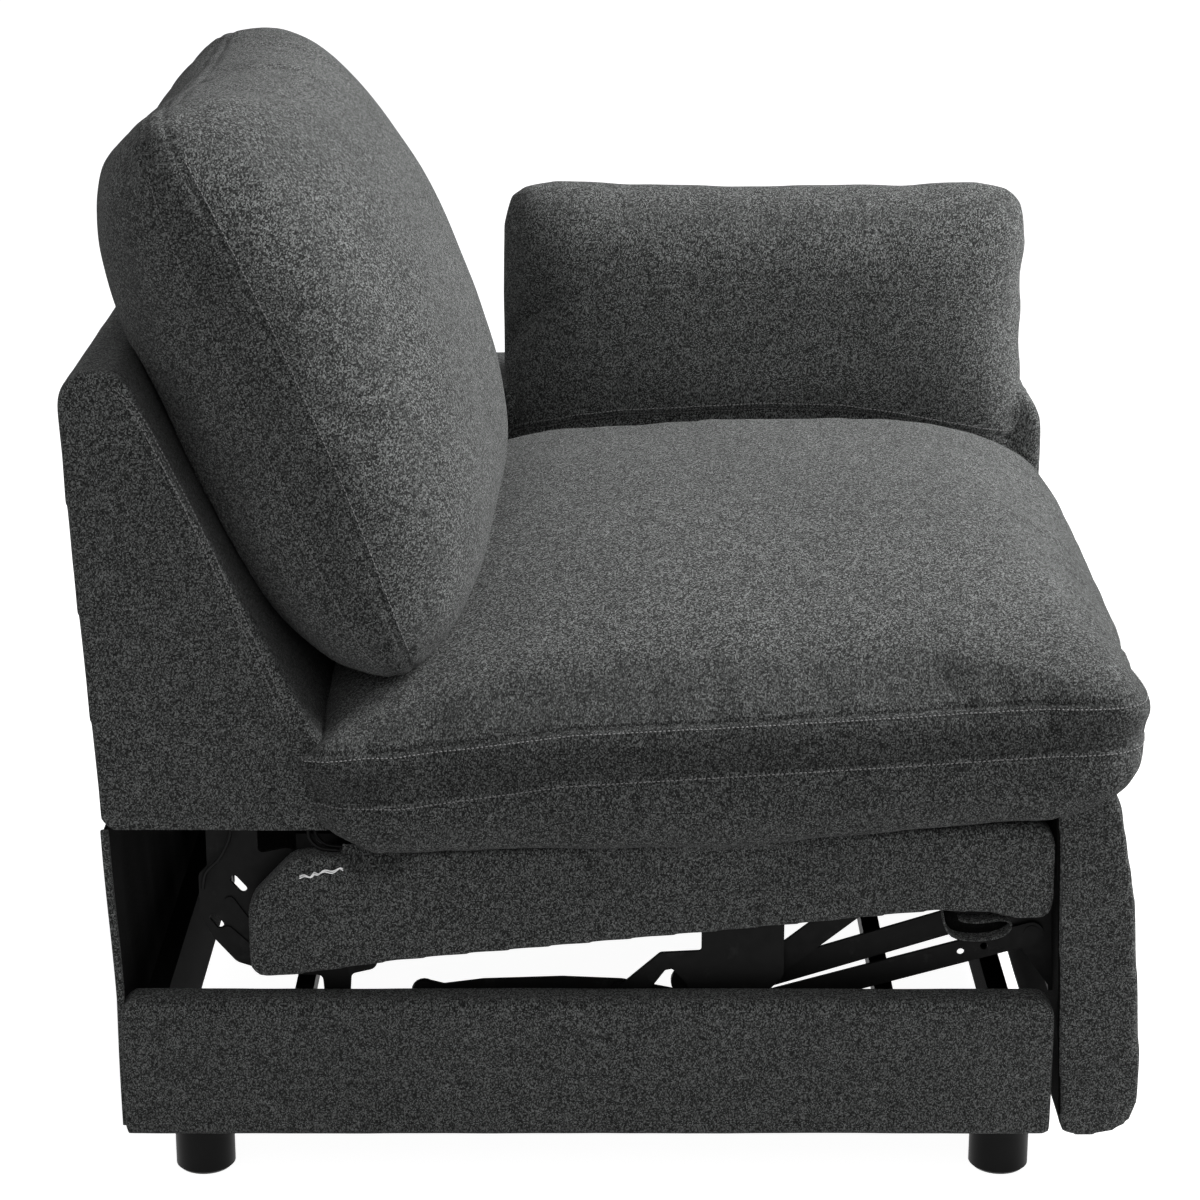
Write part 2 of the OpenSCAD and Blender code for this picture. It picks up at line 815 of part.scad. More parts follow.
module on_deck(u, x, drop) {
    translate([x, mid_y - u, box_top(u) - drop])
        rotate([-deck_tilt, 0, 0])
            rotate([0, 0, -90])
                children();
}
module seat_springs() {
    color(zinc_colour)
        for (i = [0 : spring_count - 1]) {
            on_deck(spring_rear, spring_x(i), spring_drop + spring_wire)
                translate([touch_gap, 0, 0])
                    scale([1 - 2 * touch_gap / spring_l, 1, 1])
                        linear_extrude(spring_wire)
                            spring_flat();
        }
}
// Clips that hold the spring ends on the timber
clip_l = 24;
clip_w = 16;
clip_t = 2;
module spring_clips() {
    color(zinc_colour)
        for (i = [0 : spring_count - 1]) {
            for (u = [spring_rear, spring_front - clip_l]) {
                on_deck(u, spring_x(i), spring_drop)
                    translate([touch_gap, -clip_w / 2, touch_gap])
                        cube([clip_l - 2 * touch_gap, clip_w, clip_t]);
            }
        }
}
// Deck cloth over the springs, fixed to the box's inner edges
deck_t = 4;
module seat_deck() {
    color(cloth_colour)
        on_deck(seat_rear_rail_u, board_face_x, cover_t)
            translate([touch_gap, touch_gap, touch_gap])
                cube([box_front - seat_rear_rail_u - 2 * touch_gap, inner_w - 2 * touch_gap, deck_t]);
}

// Seat cushion
cushion_rear_gap = 3;
cushion_overhang = 82;
cushion_rear = back_front_low + cushion_rear_gap;
cushion_front = base_front + cushion_overhang;
cushion_draw_share = 0.015;
cushion_wedge = 11;
cushion_clear = 3;
cushion_front_relief = panel_top + cushion_clear;
module seat_cushion() {
    half_l = (cushion_front - cushion_rear) / 2;
    half_w = (arm_x - arm_gap - left_x) / 2;
    mid_u = (cushion_front + cushion_rear) / 2;
    low_seam = cushion_side_h - cushion_band;
    rings = concat(
        [[0.5, 0, 0], [0.95, 0, 0], [0.985, low_seam * 0.16, 0], [1, low_seam * 0.55, 0],
            [0.985, low_seam, cushion_wedge], [0.995, (low_seam + cushion_side_h) / 2, cushion_wedge],
            [0.985, cushion_side_h, cushion_wedge]],
        [for (d = dome(0.985, cushion_side_h, cushion_crown, cushion_wedge))
            [d[0], d[1], cushion_wedge * 2.2]]
    );
    color(fabric_colour)
        difference() {
            translate([0, 0, seam_gap])
                place_form(mid_u, (left_x + arm_x - arm_gap) / 2, box_top(mid_u), -deck_tilt)
                    ring_form(half_l, half_w, cushion_draw_share, rings);
            block(box_front + touch_gap, cushion_front + cushion_band,
                left_x - over, arm_x + over, base_z, cushion_front_relief);
        }
}

// Fabric tab under the cushion's rear corner
tab_t = 2.5;
tab_inset = 95;
tab_u = box_rear + tab_inset;
tab_l = 60;
tab_drop = 20;
tab_shares = [[0, -0.2], [0.07, -1], [0.9, -1], [1, -0.3]];
module cushion_tab() {
    color(fabric_colour)
        side_slab(seat_left_x - touch_gap - tab_t, tab_t)
            polygon(rounded(
                [for (s = tab_shares)
                    let (u = tab_u + s[0] * tab_l)
                    [u, box_top(u) + s[1] * tab_drop]],
                [edge_r, tab_drop / 2, tab_drop / 2, edge_r]
            ));
}
// Folded flap under the box's front corner
flap_w = 22;
flap_inset = 6;
flap_front_inset = 101;
flap_u = box_front - flap_front_inset;
flap_l = 74;
flap_drop = 30;
flap_outer_shares = [[0, 0], [0.08, -1], [0.81, -1], [1, 0]];
flap_inner_shares = [[0.12, -0.24], [0.16, -0.9], [0.78, -0.9], [0.7, -0.3]];
function flap_points(shares) =
    [for (s = shares)
        let (u = flap_u + s[0] * flap_l)
        [u, box_bottom(u) - touch_gap + s[1] * flap_drop]];
module front_flap() {
    color(cloth_colour)
        side_slab(seat_left_x + flap_inset, flap_w)
            difference() {
                polygon(rounded(flap_points(flap_outer_shares), [edge_r, 2 * edge_r, 3 * edge_r, edge_r / 2]));
                polygon(rounded(flap_points(flap_inner_shares), [edge_r, edge_r, 2 * edge_r, edge_r / 2]));
            }
}
// Bright wire clip on the box's rear corner
wire_insets = [54, 91];
wire_u = [for (inset = wire_insets) box_rear + inset];
wire_drop = [18, 11];
wire_w = 4;
module wire_clip() {
    color(zinc_colour)
        side_slab(seat_left_x - touch_gap - clip_t, clip_t)
            polygon(bar_points([wire_u[0], box_top(wire_u[0]) - wire_drop[0]],
                [wire_u[1], box_top(wire_u[1]) - wire_drop[1]], wire_w));
}

// Seat plates

strip_end = 18;
strip_low = 14;
strip_h = 44;
strip_rear_share = 1.1;
strip_round_shares = [0.3, 0.14, 0.22, 0.9, 0.36];
leg_insets = [349, 267];
leg_u = [for (inset = leg_insets) base_front - inset];
lug_back = 86;
lug_drop = 6;
lug_w = 48;
rod_d = 12;
lug_place = [rear_swing_u - lug_back, seat_pivot_z - lug_drop];
module seat_strip() {
    rear = back_pivot[0] - strip_end;
    front = box_front - timber_t - touch_gap;
    high = strip_low + strip_h;
    polygon(rounded([
        [rear, box_bottom(rear) + strip_low], [front, box_bottom(front) + strip_low],
        [front, box_bottom(front) + high], [leg_u[0], box_bottom(leg_u[0]) + high],
        [rear, box_bottom(rear) + strip_low + strip_h * strip_rear_share]
    ], strip_h * strip_round_shares));
}
// The web under the strip, down to the front swing pivot
truss_size = [leg_u[1] - front_swing_u, box_ref_rise];
truss_shares = [[-0.025, 0.13], [0.236, 0.68], [0.49, 0.71], [0.49, 1.55],
    [1, 1.6], [1, 0.32], [0.8, -0.2], [-0.025, -0.18]];
truss_round_shares = [0.15, 0.09, 0.04, 0.03, 0.03, 0.15, 0.12, 0.13];
window_shares = [[0.15, 0.03], [0.267, 0.41], [0.31, 0.43], [0.404, 0.18], [0.41, 0.03]];
window_round_shares = [0.03, 0.045, 0.045, 0.045, 0.03];
truss_rivet_shares = [[0.379, 0.47], [0.478, 0.176]];
function on_truss(shares) = shares_at([front_swing_u, seat_pivot_z], truss_size, shares);
lug_shares = [[-1, 1.55], [-0.96, 0.64], [-0.3, 0.62], [-0.24, -0.24],
    [0.24, -0.24], [0.3, 0.65], [0.83, 0.78], [0.88, 1.7]];
lug_round_shares = [0.04, 0.17, 0.12, 0.17, 0.17, 0.12, 0.2, 0.04];
module rear_lug() {
    rise = box_bottom(lug_place[0]) - lug_place[1];
    polygon(rounded(shares_at(lug_place, [lug_w, rise], lug_shares), rise * lug_round_shares));
}
seat_bolt_gap = 10;
seat_bolt_shares = [0.39, 0.742, 0.933];
seat_bolt_rise_share = 0.6;
seat_bolt_u = concat(
    [seat_rear_rail_u + timber_t + seat_bolt_gap],
    [for (share = seat_bolt_shares) box_rear + (box_front - box_rear) * share]
);
seat_bolt_places = [for (u = seat_bolt_u)
    [u, box_bottom(u) + strip_low + strip_h * seat_bolt_rise_share]];
module seat_plate() {
    color(steel_colour) {
        difference() {
            side_slab(board_face_x, plate_t)
                difference() {
                    union() {
                        seat_strip();
                        polygon(rounded(on_truss(truss_shares), box_ref_rise * truss_round_shares));
                        rear_lug();
                    }
                    polygon(rounded(on_truss(window_shares), box_ref_rise * window_round_shares));
                }
            side_pin(lug_place, board_face_x - over, plate_t + 2 * over, rod_d);
            for (p = seat_bolt_places) {
                side_pin(p, board_face_x - over, plate_t + 2 * over, bolt_d);
            }
        }
        inner_x = board_face_x + plate_t;
        side_pin([front_swing_u, seat_pivot_z], inner_x, plane_x(2) - touch_gap - inner_x, pivot_d);
        for (p = [hang_rear, hang_front]) {
            rivet(p, inner_x, plane_x(3) + plate_t + pivot_fit);
            side_pin(p, inner_x, plane_x(3) - plane_gap - inner_x, pivot_d * head_d_share);
        }
        rivet(back_pivot, inner_x, plane_x(1) + plate_t + pivot_fit);
        for (p = on_truss(truss_rivet_shares)) {
            side_pin(p, inner_x, head_t, pivot_d);
        }
    }
}
module seat_plate_left() { seat_plate(); }
module seat_plate_right() {
    translate([2 * mid_x, 0, 0]) mirror([1, 0, 0]) seat_plate();
}

// Bolts through the seat plates into the side boards
module seat_bolts() {
    color(zinc_colour)
        both_sides()
            for (p = seat_bolt_places) {
                side_pin(p, board_face_x - board_t, board_t + plate_t, bolt_d);
                side_pin(p, board_face_x + plate_t, head_t / 3, bolt_d * head_d_share);
            }
}

// Long bar between the swing pivots, riveted to the truss at its front end
bar_rivet_step = [46, -6];
bar_nose = 8;
module carrier_bar() {
    tail = [rear_swing_u, seat_pivot_z];
    nose = [front_swing_u, seat_pivot_z];
    end = nose + bar_rivet_step;
    half = swing_w / 2;
    side_slab(plane_x(2), plate_t) {
        flat_bar(tail, tail, swing_w);
        polygon(rounded([
            tail + [0, -half], nose + [0, -half], end + [bar_nose, -bar_nose],
            end + [bar_nose, bar_nose], nose + [0, half], nose + [-swing_span * 0.3, half * 1.2],
            tail + [swing_span * 0.3, half], tail + [swing_span * 0.1, half * 0.6],
            tail + [0, half]
        ], half * bar_round_shares));
    }
    side_pin(end, board_face_x + plate_t, plane_x(2) - board_face_x - plate_t, pivot_d);
    flat_rivet(tail, plane_x(1) - pivot_fit, plane_x(2));
    side_pin(tail, plane_x(2) + plate_t, head_t, pivot_d * head_d_share);
    side_pin(nose, plane_x(2) + plate_t, head_t, pivot_d * head_d_share);
}
bar_round_shares = [0, 0.3, 0.45, 0.45, 0.3, 2, 1.5, 0.6, 0];
module carrier_bars() {
    color(steel_colour)
        both_sides()
            carrier_bar();
}

// Cross members of the seat: a square tube and a round rod
seat_tube_back = 72;
seat_tube_u = front_swing_u - seat_tube_back;
seat_tube_rise = 24;
seat_tube_z = box_ref_z + seat_tube_rise;
module seat_cross_tubes() {
    color(steel_colour) {
        square_tube(seat_tube_u, board_face_x + plate_t, mirror_face_x - plate_t, seat_tube_z);
        side_pin(lug_place, board_face_x, inner_w, rod_d);
    }
}

// Screw actuator in the middle of the seat
motor_insets = [346, 270];
motor_u = [for (inset = motor_insets) base_front - inset];
motor_h = 84;
motor_half_w = 38;
gear_l = 30;
gear_lip = 8;
rail_half = 10;
rail_wall = 2;
pin_drop = 40;
nut_travel = 104;
nut_l = 24;
nut_gap = 0.4;
crank_pin_d = 10;
crank_pin_reach = 24;
screw_z = hang_front[1] - pin_drop - rail_half - crank_pin_d / 2;
gear_low = screw_z - rail_half - gear_lip;
gear_high = screw_z + rail_half + gear_lip;
module actuator_motor() {
    color(plastic_colour) {
        side_slab(mid_x - motor_half_w, 2 * motor_half_w)
            polygon(rounded([
                [motor_u[0], gear_low - motor_h], [motor_u[1], gear_low - motor_h],
                [motor_u[1], gear_low], [motor_u[0], gear_low]
            ], motor_half_w * [0.4, 0.4, 0.1, 0.1]));
        block(motor_u[0], motor_u[1] + gear_l, mid_x - 2 * rail_half, mid_x + 2 * rail_half,
            gear_low, gear_high);
        block(seat_tube_u + tube_size, motor_u[0], mid_x - rail_half, mid_x + rail_half,
            seat_tube_z, seat_tube_z + plate_t);
    }
}
module actuator_rail() {
    u0 = motor_u[1] + gear_l;
    u1 = box_front - timber_t;
    inner = rail_half - rail_wall;
    color(zinc_colour)
        difference() {
            block(u0, u1, mid_x - rail_half, mid_x + rail_half, screw_z - rail_half, screw_z + rail_half);
            block(u0 - over, u1 + over, mid_x - inner, mid_x + inner,
                screw_z - inner, screw_z + rail_half + over);
        }
}
nut_start = hang_front[0] - nut_travel / 2;
module actuator_nut() {
    inner = rail_half - rail_wall - nut_gap;
    pin_z = screw_z + rail_half + crank_pin_d / 2;
    color(zinc_colour) {
        block(nut_start - nut_l / 2, nut_start + nut_l / 2, mid_x - inner, mid_x + inner,
            screw_z - inner, pin_z);
        side_pin([nut_start, pin_z], mid_x - crank_pin_reach, 2 * crank_pin_reach, crank_pin_d);
    }
}

// Footrest links, all in their own planes

module rear_hang_link() {
    difference() {
        side_slab(plane_x(3), plate_t)
            flat_bar(hang_rear, tail_pin, link_w);
        pivot_hole(hang_rear, plane_x(3), plate_t);
    }
    rivet(tail_pin, plane_x(3) + plate_t, plane_x(4) + plate_t + pivot_fit);
}
module rear_hang_links() {
    color(steel_colour) both_sides() rear_hang_link();
}

// The front hang links carry the torque tube between them
slim_share = 0.92;
torque_d = 28;
module front_hang_link() {
    difference() {
        side_slab(plane_x(3), plate_t)
            union() {
                flat_bar(hang_front, cross_pin, link_w);
                flat_bar(cross_pin, heel_pin, link_w * slim_share);
            }
        pivot_hole(hang_front, plane_x(3), plate_t);
    }
    rivet(cross_pin, plane_x(3) + plate_t, plane_x(4) + plate_t + pivot_fit);
    flat_rivet(heel_pin, plane_x(2) - pivot_fit, plane_x(3));
}
module front_hang_links() {
    color(steel_colour) both_sides() front_hang_link();
}

module long_link() {
    difference() {
        side_slab(plane_x(4), plate_t)
            union() {
                flat_bar(tail_pin, cross_pin, link_w);
                flat_bar(cross_pin, upper_pin, link_w);
            }
        pivot_hole(tail_pin, plane_x(4), plate_t, seam_gap);
        pivot_hole(cross_pin, plane_x(4), plate_t);
    }
    flat_rivet(upper_pin, plane_x(3) - pivot_fit, plane_x(4));
}
module long_links() {
    color(steel_colour) both_sides() long_link();
}

light_hole_d = 7.5;
light_hole_shares = [0.735, 0.822];
module front_link() {
    run = lower_pin - heel_pin;
    difference() {
        side_slab(plane_x(2), plate_t)
            flat_bar(heel_pin, lower_pin, link_w * slim_share);
        pivot_hole(heel_pin, plane_x(2), plate_t);
        for (share = light_hole_shares) {
            side_pin(heel_pin + run * share, plane_x(2) - over, plate_t + 2 * over, light_hole_d);
        }
        pivot_hole(lower_pin, plane_x(2), plate_t, open_pin_slack);
    }
}
module front_links() {
    color(steel_colour) both_sides() front_link();
}

// Torque tube on the front hang pivot's axis, with its slotted drive plates
crank_slot_start = 38;
crank_slot_l = 34;
crank_slot_w = 20;
crank_gap = 3;
crank_margin_share = 0.5;
module drive_plate(x) {
    lean = link_turn / 2;
    aim = [-sin(lean), -cos(lean)];
    crank_end = hang_front + aim * (crank_slot_start + crank_slot_l);
    side_slab(x, plate_t)
        difference() {
            flat_bar(hang_front, crank_end, crank_slot_w * (1 + 2 * crank_margin_share));
            flat_bar(crank_end - aim * crank_slot_l, crank_end, crank_slot_w);
        }
}
module drive_tube() {
    x0 = plane_x(3) + plate_t + pivot_fit + head_t + touch_gap;
    color(steel_colour) {
        difference() {
            side_pin(hang_front, x0, 2 * (mid_x - x0), torque_d);
            side_pin(hang_front, x0 - over, 2 * (mid_x - x0) + 2 * over, torque_d - 2 * plate_t);
        }
        for (x = [mid_x - rail_half - crank_gap - plate_t, mid_x + rail_half + crank_gap]) {
            drive_plate(x);
        }
        both_sides()
            drive_tie();
    }
}
// Web that welds the tube's end to the hang link below the pivot's head
tie_reach_share = 1.3;
tie_w_share = 0.35;
module drive_tie() {
    along = unit(cross_pin - hang_front);
    side_slab(plane_x(3) + plate_t, 2 * plate_t)
        flat_bar(hang_front + along * torque_d / 2, hang_front + along * torque_d * tie_reach_share,
            torque_d * tie_w_share);
}

// Back

wedge_low_share = 0.17;
wedge_high_share = 0.78;
wedge_setback = 145;
wedge_top_setback = 188;
wedge_round_shares = [0.026, 0.017, 0.065, 0.13, 0.052, 0.074];
wedge_inner_round_shares = [0.002, 0.002, 0.065, 0.13, 0.013, 0.03];
function wedge_outline(in) =
    let (
        top = back_bottom + back_frame_h,
        low = in > 0 ? back_bottom - over : back_bottom
    )
    rounded([
        [back_rear_low + in, low],
        [back_front_low - in, low],
        [back_front_low - edge_r - in, back_bottom + back_frame_h * wedge_low_share - in / 3],
        [back_front_low - wedge_setback - in, back_bottom + back_frame_h * wedge_high_share - in / 3],
        [back_front_low - wedge_top_setback - in, top - in],
        [back_rear_low - back_lean_out + in, top - in]
    ], back_frame_h * (in > 0 ? wedge_inner_round_shares : wedge_round_shares));

module back_cover() {
    color(fabric_colour)
        difference() {
            side_slab(seat_left_x, seat_right_x - seat_left_x)
                polygon(wedge_outline(0));
            side_slab(seat_left_x + back_wall, seat_right_x - seat_left_x - 2 * back_wall)
                polygon(wedge_outline(back_wall));
        }
}

// Timber inside the back: two posts and three rails
post_face_x = plane_x(1);
back_rail_h = 60;
back_rail_shares = [0, 0.42, 0.8];
back_post_depth = 135;
module back_band(u0, u1) {
    low = back_bottom;
    polygon([
        [u0, low], [u1, low],
        [u1 - back_lean_out, low + back_frame_h - back_wall - touch_gap],
        [u0 - back_lean_out, low + back_frame_h - back_wall - touch_gap]
    ]);
}
module back_frame() {
    rear = back_rear_low + back_wall;
    color(cloth_colour) {
        both_sides()
            side_slab(seat_left_x + back_wall, post_face_x - seat_left_x - back_wall)
                intersection() {
                    polygon(wedge_outline(back_wall));
                    back_band(rear + touch_gap, rear + back_post_depth);
                }
        for (share = back_rail_shares) {
            z = back_bottom + back_frame_h * share;
            u = rear + seam_gap - back_lean_out * share;
            block(u, u + timber_t, post_face_x, 2 * mid_x - post_face_x, z, z + back_rail_h);
        }
    }
}

pillow_foot_share = 0.3725;
pillow_foot_out = 90;
pillow_foot = [back_front_low + pillow_foot_out, back_bottom + back_frame_h * pillow_foot_share];
pillow_mid = pillow_foot + back_pillow_l / 2 * [-sin(back_pillow_lean), cos(back_pillow_lean)];
pillow_front_half = 122;
pillow_rear_half = 176;
pillow_half_w = 362;
pillow_band = 56;
pillow_seam_share = 0.985;
pillow_draw_share = 0.02;
module back_pillow() {
    half_band = pillow_band / 2;
    seam = pillow_seam_share;
    rings = concat(
        reversed(dome(seam, -half_band, half_band - pillow_rear_half, 0)),
        [[seam, -half_band, 0], [1, 0, 0], [seam, half_band, 0]],
        dome(seam, half_band, pillow_front_half - half_band, 0)
    );
    color(fabric_colour)
        difference() {
            translate([mid_x, mid_y - pillow_mid[0], pillow_mid[1]])
                rotate([90 - back_pillow_lean, 0, 0])
                    rotate([0, 0, 90])
                        ring_form(back_pillow_l / 2, pillow_half_w, pillow_draw_share, rings);
            side_slab(seat_left_x - 2 * over, seat_right_x - seat_left_x + 4 * over)
                polygon(wedge_outline(-seam_gap));
        }
}

// Stamped back brackets: from the seat's back pivot up into the back frame
slot_w = 8;
bead_w = 11;
bracket_depth = 97;
bracket_size = [bracket_depth, back_bottom - back_pivot[1]];
tongue_share = 0.5;
bracket_shares = [[0.165, -0.14], [0.165, 0.18], [-0.02, 0.74], [-0.39, 0.67]];
bracket_rear_shares = [[-0.91, 0.55], [-1, 0.48], [-1, 0.106], [-0.87, -0.124],
    [-0.64, -0.354], [-0.35, -0.44]];
bracket_round_shares = [0.12, 0.12, 0.09, 0.05, 0.07, 0.07, 0.05, 0.07, 0.14, 0.09, 0.12, 0.14];
bead_shares = [[[-0.69, 0.22], [-0.48, -0.05]], [[-0.72, -0.06], [-0.55, -0.2]]];
slot_shares = [[[-0.64, 0.43], [-0.55, 0.34]], [[-0.86, 0.07], [-0.8, 0]]];
module bracket_outline() {
    top = back_pivot[1] + bracket_size[1] + back_frame_h * tongue_share / 2;
    front = shares_at(back_pivot, bracket_size, bracket_shares);
    rear = shares_at(back_pivot, bracket_size, bracket_rear_shares);
    polygon(rounded(
        concat(front, [[front[3][0], top], [rear[0][0], top]], rear),
        bracket_size[1] * bracket_round_shares
    ));
}
module share_bar(shares, w) {
    ends = shares_at(back_pivot, bracket_size, shares);
    flat_bar(ends[0], ends[1], w);
}
module back_bracket() {
    bead_h = plate_t / 2;
    difference() {
        union() {
            side_slab(plane_x(1), plate_t)
                bracket_outline();
            side_slab(plane_x(1) - bead_h, bead_h)
                for (ends = bead_shares) {
                    share_bar(ends, bead_w);
                }
        }
        pivot_hole(back_pivot, plane_x(1), plate_t);
        side_slab(plane_x(1) - over, plate_t + 2 * over)
            for (ends = slot_shares) {
                share_bar(ends, slot_w);
            }
    }
}
module back_brackets() {
    color(steel_colour) both_sides() back_bracket();
}

// Footrest

panel_low_round = 40;
panel_round_shares = [0.03, 0, 0.16, 0.32, 0.065, 0.04];
panel_belly_shares = [0.23, 0.69];
panel_belly_in = 13;
panel_top_in = 34;
function panel_outline() =
    let (
        h = panel_top - base_z,
        radii = h * panel_round_shares
    )
    rounded([
        [panel_rear_low, base_z], [panel_front, base_z],
        [panel_front, base_z + h * panel_belly_shares[0]],
        [panel_front - panel_belly_in, base_z + h * panel_belly_shares[1]],
        [panel_front - panel_top_in, panel_top], [panel_rear_top, panel_top]
    ], [radii[0], panel_low_round, radii[2], radii[3], radii[4], radii[5]]);
module footrest_cover() {
    color(fabric_colour)
        difference() {
            side_slab(seat_left_x - seat_inset, seat_right_x - seat_left_x + seat_inset)
                polygon(panel_outline());
            side_slab(seat_left_x - seat_inset + board_inset,
                    seat_right_x - seat_left_x + seat_inset - 2 * board_inset)
                polygon(panel_board(over));
        }
}
function panel_slope(z) = panel_rear_low
    + (panel_rear_top - panel_rear_low) * (z - base_z) / (panel_top - base_z);
function panel_board(out) =
    let (
        low = base_z + 1.5 * board_inset,
        high = panel_top - 2 * board_inset
    )
    [
        [panel_slope(low) - out, low], [panel_slope(low) + board_t, low],
        [panel_slope(high) + board_t, high], [panel_slope(high) - out, high]
    ];
module footrest_board() {
    color(cloth_colour)
        side_slab(seat_left_x - seat_inset + board_inset,
                seat_right_x - seat_left_x + seat_inset - 2 * board_inset)
            polygon(panel_board(0));
}

// Brackets on the back of the footrest, with a flange against its board
flange_w = 34;
flange_drop = 64;
flange_low = lower_pin[1] - flange_drop;
flange_high = upper_pin[1] + plate_t;
module footrest_bracket() {
    seat = [panel_slope(flange_low) - touch_gap, panel_slope(flange_high) - touch_gap];
    half = link_w / 2;
    difference() {
        side_slab(plane_x(3), plate_t)
            polygon(rounded([
                upper_pin + [-half, 0], upper_pin + [-half, -half / 2],
                lower_pin + [-half, -half], [seat[0], flange_low], [seat[1], flange_high],
                upper_pin + [-half / 3, half]
            ], half * [0.6, 0.6, 0.8, 0, 0, 0.7]));
        pivot_hole(upper_pin, plane_x(3), plate_t);
    }
    side_slab(plane_x(3), flange_w)
        polygon([
            [seat[0] - plate_t, flange_low], [seat[0], flange_low],
            [seat[1], flange_high], [seat[1] - plate_t, flange_high]
        ]);
    flat_rivet(lower_pin, plane_x(2) - pivot_fit, plane_x(3));
}
module footrest_brackets() {
    color(steel_colour) both_sides() footrest_bracket();
}

// Thin leads: a round tube along points chosen by hand
lead_d = 4;
lead_sides = 8;
function smooth_step(p, i) = i == 0 ? p[1] - p[0] : i == len(p) - 1 ? p[i] - p[i - 1] : p[i + 1] - p[i - 1];
function curve_at(p, i, t) =
    let (
        a = p[i],
        b = p[i + 1],
        ta = smooth_step(p, i) / 2,
        tb = smooth_step(p, i + 1) / 2
    )
    a * (2 * t * t * t - 3 * t * t + 1) + ta * (t * t * t - 2 * t * t + t)
    + b * (3 * t * t - 2 * t * t * t) + tb * (t * t * t - t * t);
curve_n = 5;
function curve(p) = concat(
    [for (i = [0 : len(p) - 2]) for (k = [0 : curve_n - 1]) curve_at(p, i, k / curve_n)],
    [p[len(p) - 1]]
);
module lead(route, d) {
    path = curve(route);
    n = len(path);
    points = [for (i = [0 : n - 1])
        let (
            along = unit(path[min(i + 1, n - 1)] - path[max(i - 1, 0)]),
            side = unit(cross(along, [0.13, 0.99, 0.05])),
            up = cross(side, along)
        )
        for (k = [0 : lead_sides - 1])
            path[i] + d / 2 * (cos(360 * k / lead_sides) * side + sin(360 * k / lead_sides) * up)];
    walls = [for (i = [0 : n - 2]) for (k = [0 : lead_sides - 1])
        let (
            a = i * lead_sides + k,
            b = i * lead_sides + (k + 1) % lead_sides
        )
        each [[a, b, a + lead_sides], [b, b + lead_sides, a + lead_sides]]];
    first_cap = [for (k = [1 : lead_sides - 2]) [0, k + 1, k]];
    last = (n - 1) * lead_sides;
    last_cap = [for (k = [1 : lead_sides - 2]) [last, last + k, last + k + 1]];
    polyhedron(points = points, faces = concat(walls, first_cap, last_cap), convexity = 6);
}
// From under the back frame down the bracket: [forward, across] from the back pivot and the open
// side, and the drop below the frame
back_lead_route = [[-62, 26], [-64, 24], [-74, 24], [-88, 26], [-92, 29]];
back_lead_drops = [1, 17, 37, 53, 71];
// A pair from under the back frame onto the seat box, with each point's share of the gap between
seat_lead_routes = [[[14, 22], [16, 20], [26, 16], [44, 12]], [[20, 28], [22, 26], [32, 22], [50, 18]]];
seat_lead_shares = [[0.89, 0.449, 0.14, 0.071], [0.889, 0.48, 0.168, 0.1]];
module place_route(route, heights) {
    lead([for (i = [0 : len(route) - 1])
        [seat_left_x + route[i][1], mid_y - back_pivot[0] - route[i][0], heights[i]]], lead_d);
}
module back_lead() {
    color(plastic_colour)
        place_route(back_lead_route, [for (drop = back_lead_drops) back_bottom - drop]);
}
module seat_leads() {
    color(plastic_colour)
        for (i = [0 : len(seat_lead_routes) - 1]) {
            route = seat_lead_routes[i];
            place_route(route, [for (k = [0 : len(route) - 1])
                let (low = box_top(back_pivot[0] + route[k][0]))
                low + (back_bottom - low) * seat_lead_shares[i][k]]);
        }
}

side_rail_cover();
side_rail_board();
right_base_rail();
base_front_rail();
base_rear_rail();
corner_blocks();
foot_front_left();
foot_rear_left();
foot_front_right();
foot_rear_right();
foot_studs();
mech_rail_left();
mech_rail_right();
base_cross_tubes();
base_bolts();
arm_cover();
arm_frame();
arm_pillow();
control_bezel();
button_open();
button_close();
rear_skirt();
power_inlet();
rear_swing_links();
front_swing_links();
seat_side_cover_left();
seat_side_cover_right();
seat_side_board_left();
seat_side_board_right();
seat_front_panel();
seat_rear_rail();
seat_springs();
spring_clips();
seat_deck();
seat_cushion();
seat_plate_left();
seat_plate_right();
seat_bolts();
carrier_bars();
seat_cross_tubes();
actuator_motor();
actuator_rail();
actuator_nut();
cushion_tab();
front_flap();
wire_clip();
rear_hang_links();
front_hang_links();
long_links();
front_links();
drive_tube();
back_cover();
back_frame();
back_pillow();
back_brackets();
footrest_cover();
footrest_board();
footrest_brackets();
back_lead();
seat_leads();
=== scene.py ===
"""Looks of the power recliner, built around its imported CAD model."""
import json
import math
import bmesh
import bpy
import numpy as np
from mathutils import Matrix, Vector, noise
from mathutils.bvhtree import BVHTree
from mathutils.kdtree import KDTree


